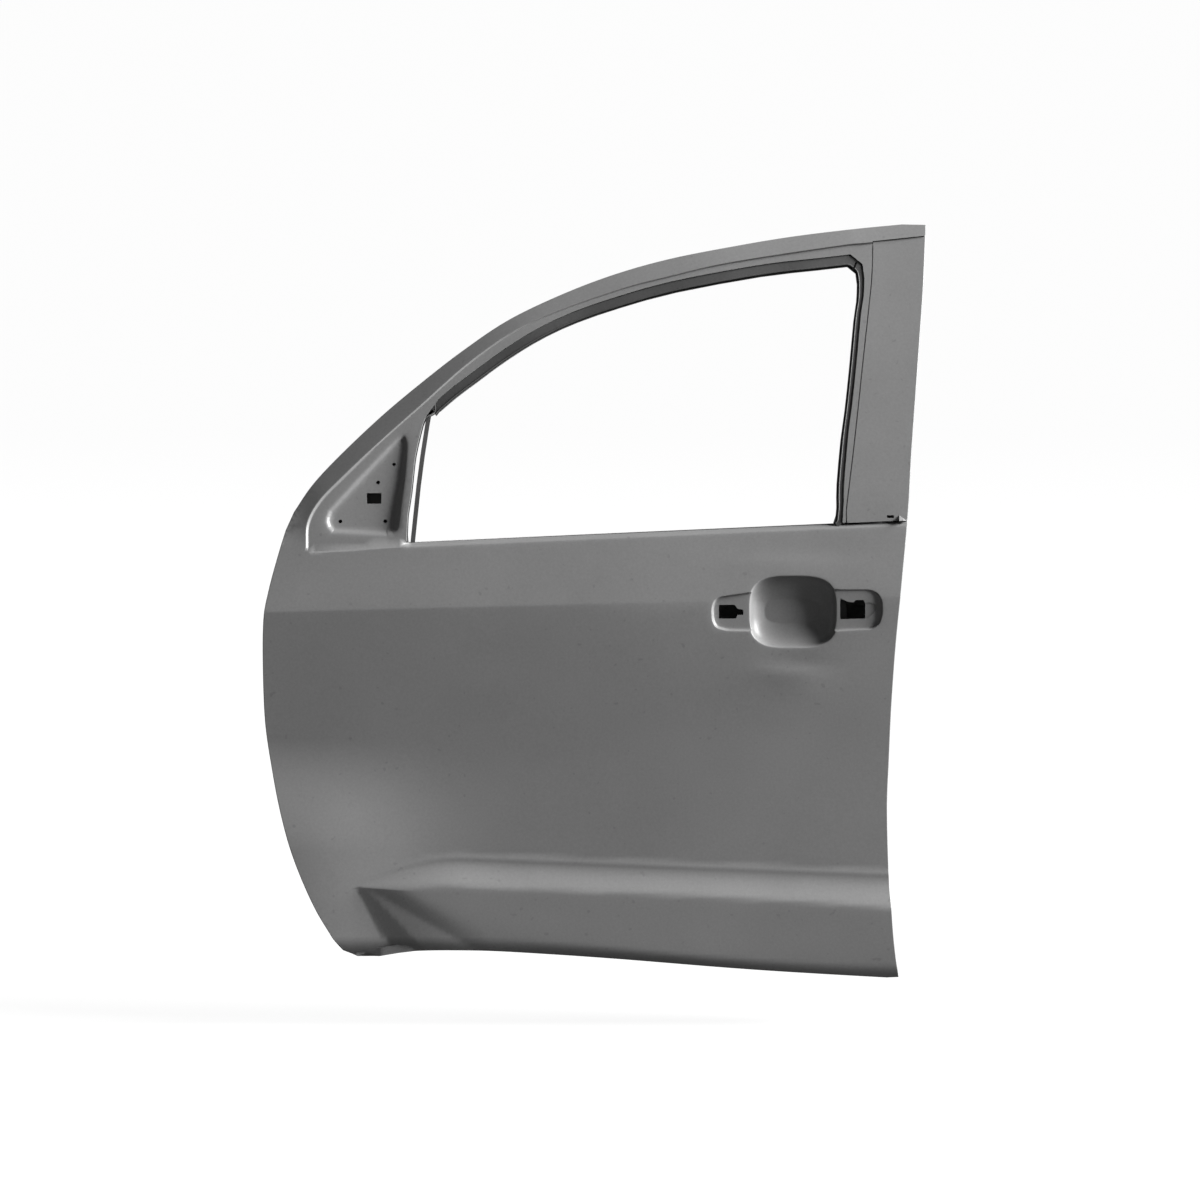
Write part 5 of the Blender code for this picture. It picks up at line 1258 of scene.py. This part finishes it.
def new_material(name):
    """An empty material with a Principled shader, and a way to add nodes to it."""
    material = bpy.data.materials.new(name)
    material.use_nodes = True
    shader = material.node_tree.nodes["Principled BSDF"]
    return material, material.node_tree, shader


def noise(tree, place, scale, detail, roughness=0.5):
    """Noise over the object's own coordinates."""
    node = tree.nodes.new("ShaderNodeTexNoise")
    node.inputs["Scale"].default_value = scale
    node.inputs["Detail"].default_value = detail
    node.inputs["Roughness"].default_value = roughness
    tree.links.new(place, node.inputs["Vector"])
    return node.outputs["Fac"]


def mapped(tree, value, from_low, from_high, to_low, to_high):
    """A value carried from one range to another."""
    node = tree.nodes.new("ShaderNodeMapRange")
    node.inputs["From Min"].default_value = from_low
    node.inputs["From Max"].default_value = from_high
    node.inputs["To Min"].default_value = to_low
    node.inputs["To Max"].default_value = to_high
    tree.links.new(value, node.inputs["Value"])
    return node.outputs["Result"]


def maths(tree, operation, first, second):
    """One operation on two values, either of which may be a plain number."""
    node = tree.nodes.new("ShaderNodeMath")
    node.operation = operation
    for socket, value in zip(node.inputs, (first, second)):
        if isinstance(value, (int, float)):
            socket.default_value = value
        else:
            tree.links.new(value, socket)
    return node.outputs["Value"]


def primer_finish(name, colour, roughness, variation, peel):
    """Electro-coat primer: a satin grey film with a fine orange peel, faint clouds and dust specks."""
    material, tree, shader = new_material(name)
    place = tree.nodes.new("ShaderNodeTexCoord").outputs["Object"]
    clouds = noise(tree, place, CLOUD_SCALE, 3.0)
    grain = noise(tree, place, GRAIN_SCALE, 3.0, 0.7)
    specks = noise(tree, place, DUST_SCALE, 0.0)
    shade = mapped(tree, clouds, NOISE_LOW, NOISE_HIGH, 1.0 - variation, 1.0 + variation)
    fine = mapped(tree, grain, NOISE_LOW, NOISE_HIGH, 1.0 - GRAIN_SHARE, 1.0 + GRAIN_SHARE)
    dust = mapped(tree, specks, DUST_LOW, DUST_HIGH, 1.0, DUST_SHADE)
    total = maths(tree, "MULTIPLY", maths(tree, "MULTIPLY", shade, fine), dust)
    scale = tree.nodes.new("ShaderNodeVectorMath")
    scale.operation = "SCALE"
    scale.inputs[0].default_value = colour
    tree.links.new(total, scale.inputs["Scale"])
    tree.links.new(scale.outputs["Vector"], shader.inputs["Base Color"])
    patches = noise(tree, place, GLOSS_SCALE, 4.0)
    gloss = mapped(tree, patches, NOISE_LOW, NOISE_HIGH, roughness - 0.04, roughness + 0.05)
    tree.links.new(gloss, shader.inputs["Roughness"])
    bump = tree.nodes.new("ShaderNodeBump")
    bump.inputs["Strength"].default_value = peel
    bump.inputs["Distance"].default_value = PEEL_HEIGHT
    height = maths(tree, "ADD", noise(tree, place, PEEL_SCALE, 2.0), maths(tree, "MULTIPLY", grain, 0.5))
    tree.links.new(height, bump.inputs["Height"])
    tree.links.new(bump.outputs["Normal"], shader.inputs["Normal"])
    shader.inputs["IOR"].default_value = PRIMER_IOR
    return material


def metal_finish(name, colour, roughness):
    """Bright zinc with a fine matt grain."""
    material, tree, shader = new_material(name)
    place = tree.nodes.new("ShaderNodeTexCoord").outputs["Object"]
    shader.inputs["Base Color"].default_value = (*colour, 1.0)
    shader.inputs["Metallic"].default_value = 0.9
    grain = noise(tree, place, ZINC_GRAIN_SCALE, 3.0)
    matt = mapped(tree, grain, NOISE_LOW, NOISE_HIGH, roughness - 0.08, roughness + 0.12)
    tree.links.new(matt, shader.inputs["Roughness"])
    return material


def finishes(look):
    """Every finish by the name of its slot."""
    grey = look.primer_grey
    dark = look.dark_primer_grey
    return {
        "primer": primer_finish("primer_film", (grey, grey, grey), look.primer_roughness, 0.045, 0.10),
        "dark_primer": primer_finish("channel_film", (dark, dark, dark), 0.50, 0.30, 0.60),
        "zinc": metal_finish("zinc_plate", ZINC_COLOUR, ZINC_ROUGHNESS),
        "mastic": primer_finish("mastic_bead", MASTIC_COLOUR, 0.70, 0.15, 0.60),
    }


def dress(look):
    """Puts the finishes on every CAD node, by its slot in the record."""
    made = finishes(look)
    slots = {row["node"]: row["material_slot"] for row in frame["record"]["subparts"]}
    for name, node in frame["nodes"].items():
        node.data.materials.clear()
        node.data.materials.append(made[slots[name]])


# Add-on


class DoorLook(bpy.types.PropertyGroup):
    """Greys and roughness of the finishes."""

    primer_grey: FloatProperty(
        name="Primer grey", description="How light the primer film is", default=0.150, min=0.0, max=1.0,
        subtype="FACTOR",
    )
    primer_roughness: FloatProperty(
        name="Primer roughness", description="How matt the primer film is", default=0.42, min=0.0, max=1.0,
        subtype="FACTOR",
    )
    dark_primer_grey: FloatProperty(
        name="Channel grey", description="How light the film on the glass channels is", default=0.040,
        min=0.0, max=1.0, subtype="FACTOR",
    )


class DoorStage(bpy.types.PropertyGroup):
    """Camera and lights."""

    distance: FloatProperty(
        name="Camera distance", description="From the skin to the camera", default=4.5, unit="LENGTH",
    )
    key: FloatProperty(
        name="Key light", description="Strength of the soft light from the right", default=16.6, min=0.0,
    )
    fill: FloatProperty(
        name="Surrounding light", description="Strength of the even light from all round", default=0.12,
        min=0.0,
    )


class DRAW_OT_door_stage(bpy.types.Operator):
    """Sets up the camera, the pale floor and backdrop and the lights"""

    bl_idname = "draw.door_stage"
    bl_label = "Stage"

    def execute(self, context):
        draw_stage(context.scene.door_stage)
        return {"FINISHED"}


class DRAW_OT_door_finish(bpy.types.Operator):
    """Gives the frame's own pieces their finishes"""

    bl_idname = "draw.door_finish"
    bl_label = "Finishes"

    def execute(self, context):
        dress(context.scene.door_look)
        return {"FINISHED"}


class DRAW_OT_door_skin(bpy.types.Operator):
    """Draws the outer skin as a fine hemmed sheet"""

    bl_idname = "draw.door_skin"
    bl_label = "Outer skin"

    def execute(self, context):
        settle(draw_outer_skin(), "primer_film", "primer", "outer_skin")
        return {"FINISHED"}


class DRAW_OT_door_channels(bpy.types.Operator):
    """Draws the two lengths of the glass channel, which meet in the upper rear corner"""

    bl_idname = "draw.door_channels"
    bl_label = "Glass channels"

    def execute(self, context):
        header = draw_channel("channel_header", HEADER_PART)
        settle(header, "channel_film", "dark_primer", "header_run_channel")
        rear = draw_channel("channel_rear", REAR_PART)
        settle(rear, "channel_film", "dark_primer", "rear_run_channel")
        return {"FINISHED"}


class DRAW_OT_door_inner(bpy.types.Operator):
    """Draws the inner stamping with its rim under the drawn skin"""

    bl_idname = "draw.door_inner"
    bl_label = "Inner panel"

    def execute(self, context):
        settle(draw_inner_panel(), "primer_film", "primer", "inner_panel")
        return {"FINISHED"}


class DRAW_OT_door_pillar(bpy.types.Operator):
    """Draws the rear post's outer panel as a fine hemmed sheet"""

    bl_idname = "draw.door_pillar"
    bl_label = "Rear post panel"

    def execute(self, context):
        settle(draw_pillar_panel(), "primer_film", "primer", "rear_pillar_panel")
        return {"FINISHED"}


def settle(piece, finish, slot, *nodes):
    """Gives a finished piece its material and its body, and hides the CAD nodes that it stands for; the slot
    is not used.
    """
    piece.data.materials.clear()
    piece.data.materials.append(bpy.data.materials[finish])
    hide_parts(*nodes)
    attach(piece, "root")


# The picture


def sun_light(name, side, angle, power):
    """A light from one side that is equally strong all over the door, as from a tall window far off."""
    light = bpy.data.lights.new(name, "SUN")
    light.angle = angle
    light.energy = power
    obj = bpy.data.objects.new(name, light)
    obj.location = side
    obj.rotation_euler = (-Vector(side)).to_track_quat("-Z", "Y").to_euler()
    bpy.context.scene.collection.objects.link(obj)
    return obj


def backdrop():
    """A floor that curves up into a wall behind the door: a profile in depth and height, carried across."""
    turn = np.linspace(0.0, math.pi / 2, WALL_CURVE_POINTS)
    depth = np.concatenate([[FLOOR_NEAR_Y], WALL_Y - WALL_CURVE + WALL_CURVE * np.sin(turn), [WALL_Y]])
    height = np.concatenate([[FLOOR_Z], FLOOR_Z + WALL_CURVE * (1.0 - np.cos(turn)), [WALL_TOP_Z]])
    across = np.array((-HALF_WIDTH, HALF_WIDTH))
    points = np.stack([
        np.broadcast_to(across[:, None], (2, len(depth))), np.broadcast_to(depth, (2, len(depth))),
        np.broadcast_to(height, (2, len(depth))),
    ], axis=2).reshape(-1, 3)
    count = len(depth)
    near = np.arange(count - 1)
    quads = np.column_stack([near, near + count, near + count + 1, near + 1])
    return mesh_object("backdrop", points + ORIGIN, [], [quads])


def backdrop_finish():
    """Pale paper: what the camera sees is close to white, and the door's soft shadow stays on it."""
    material, tree, shader = new_material("backdrop_paper")
    shader.inputs["Roughness"].default_value = 0.9
    glow = tree.nodes.new("ShaderNodeEmission")
    glow.inputs["Color"].default_value = (1.0, 1.0, 1.0, 1.0)
    glow.inputs["Strength"].default_value = 1.0
    path = tree.nodes.new("ShaderNodeLightPath")
    seen = maths(tree, "MAXIMUM", path.outputs["Is Camera Ray"], path.outputs["Is Transmission Ray"])
    tree.links.new(mapped(tree, seen, 0.0, 1.0, PAPER_UNSEEN, PAPER_SEEN), shader.inputs["Base Color"])
    share = maths(tree, "MULTIPLY", seen, PAPER_GLOW)
    mix = tree.nodes.new("ShaderNodeMixShader")
    tree.links.new(share, mix.inputs["Fac"])
    tree.links.new(shader.outputs["BSDF"], mix.inputs[1])
    tree.links.new(glow.outputs["Emission"], mix.inputs[2])
    tree.links.new(mix.outputs["Shader"], tree.nodes["Material Output"].inputs["Surface"])
    return material


def surroundings(strength):
    """White to the camera, and an even soft grey to everything else."""
    world = bpy.data.worlds.new("surroundings")
    world.use_nodes = True
    tree = world.node_tree
    light = tree.nodes["Background"]
    light.inputs["Color"].default_value = (1.0, 1.0, 1.0, 1.0)
    path = tree.nodes.new("ShaderNodeLightPath")
    share = maths(tree, "MULTIPLY_ADD", path.outputs["Is Camera Ray"], 1.0 - strength)
    share.node.inputs[2].default_value = strength
    tree.links.new(share, light.inputs["Strength"])
    bpy.context.scene.world = world


def draw_stage(look):
    """The camera level and square to the door, the paper behind it, the even light and the key light."""
    scene = bpy.context.scene
    camera = bpy.data.cameras.new("camera")
    camera.lens = CAMERA_LENS
    camera.sensor_width = CAMERA_SENSOR
    camera.clip_end = CAMERA_FAR
    view = bpy.data.objects.new("camera", camera)
    view.location = (CAMERA_X, -look.distance - ORIGIN[1], CAMERA_Z)
    view.rotation_euler = (math.pi / 2, 0.0, 0.0)
    scene.collection.objects.link(view)
    scene.camera = view
    scene.view_settings.view_transform = "Standard"
    paper = backdrop()
    paper.data.materials.append(backdrop_finish())
    surroundings(look.fill)
    key = sun_light("key_light", KEY_SIDE, KEY_ANGLE, look.key)


# Panel and start


class VIEW3D_PT_door_shell(bpy.types.Panel):
    """The door shell's pieces, greys and lights"""

    bl_label = "Door shell"
    bl_space_type = "VIEW_3D"
    bl_region_type = "UI"
    bl_category = "Door shell"

    def draw(self, context):
        layout = self.layout
        for prop in ("primer_grey", "primer_roughness", "dark_primer_grey"):
            layout.prop(context.scene.door_look, prop)
        for prop in ("distance", "key", "fill"):
            layout.prop(context.scene.door_stage, prop)
        for operator in OPERATORS:
            layout.operator(operator.bl_idname)


OPERATORS = (
    DRAW_OT_door_finish, DRAW_OT_door_skin, DRAW_OT_door_pillar, DRAW_OT_door_channels, DRAW_OT_door_inner,
    DRAW_OT_door_stage,
)
CLASSES = (DoorLook, DoorStage, *OPERATORS, VIEW3D_PT_door_shell)


def register():
    """Makes the panel, the operators and the settings known."""
    for cls in CLASSES:
        bpy.utils.register_class(cls)
    bpy.types.Scene.door_look = PointerProperty(type=DoorLook)
    bpy.types.Scene.door_stage = PointerProperty(type=DoorStage)


def unregister():
    """Takes them away again."""
    del bpy.types.Scene.door_stage
    del bpy.types.Scene.door_look
    for cls in reversed(CLASSES):
        bpy.utils.unregister_class(cls)


def main():
    """Draws the door and its stage."""
    register()
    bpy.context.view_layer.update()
    bpy.ops.draw.door_finish()
    bpy.ops.draw.door_skin()
    bpy.ops.draw.door_pillar()
    bpy.ops.draw.door_channels()
    bpy.ops.draw.door_inner()
    bpy.ops.draw.door_stage()


if __name__ == "__main__":
    main()
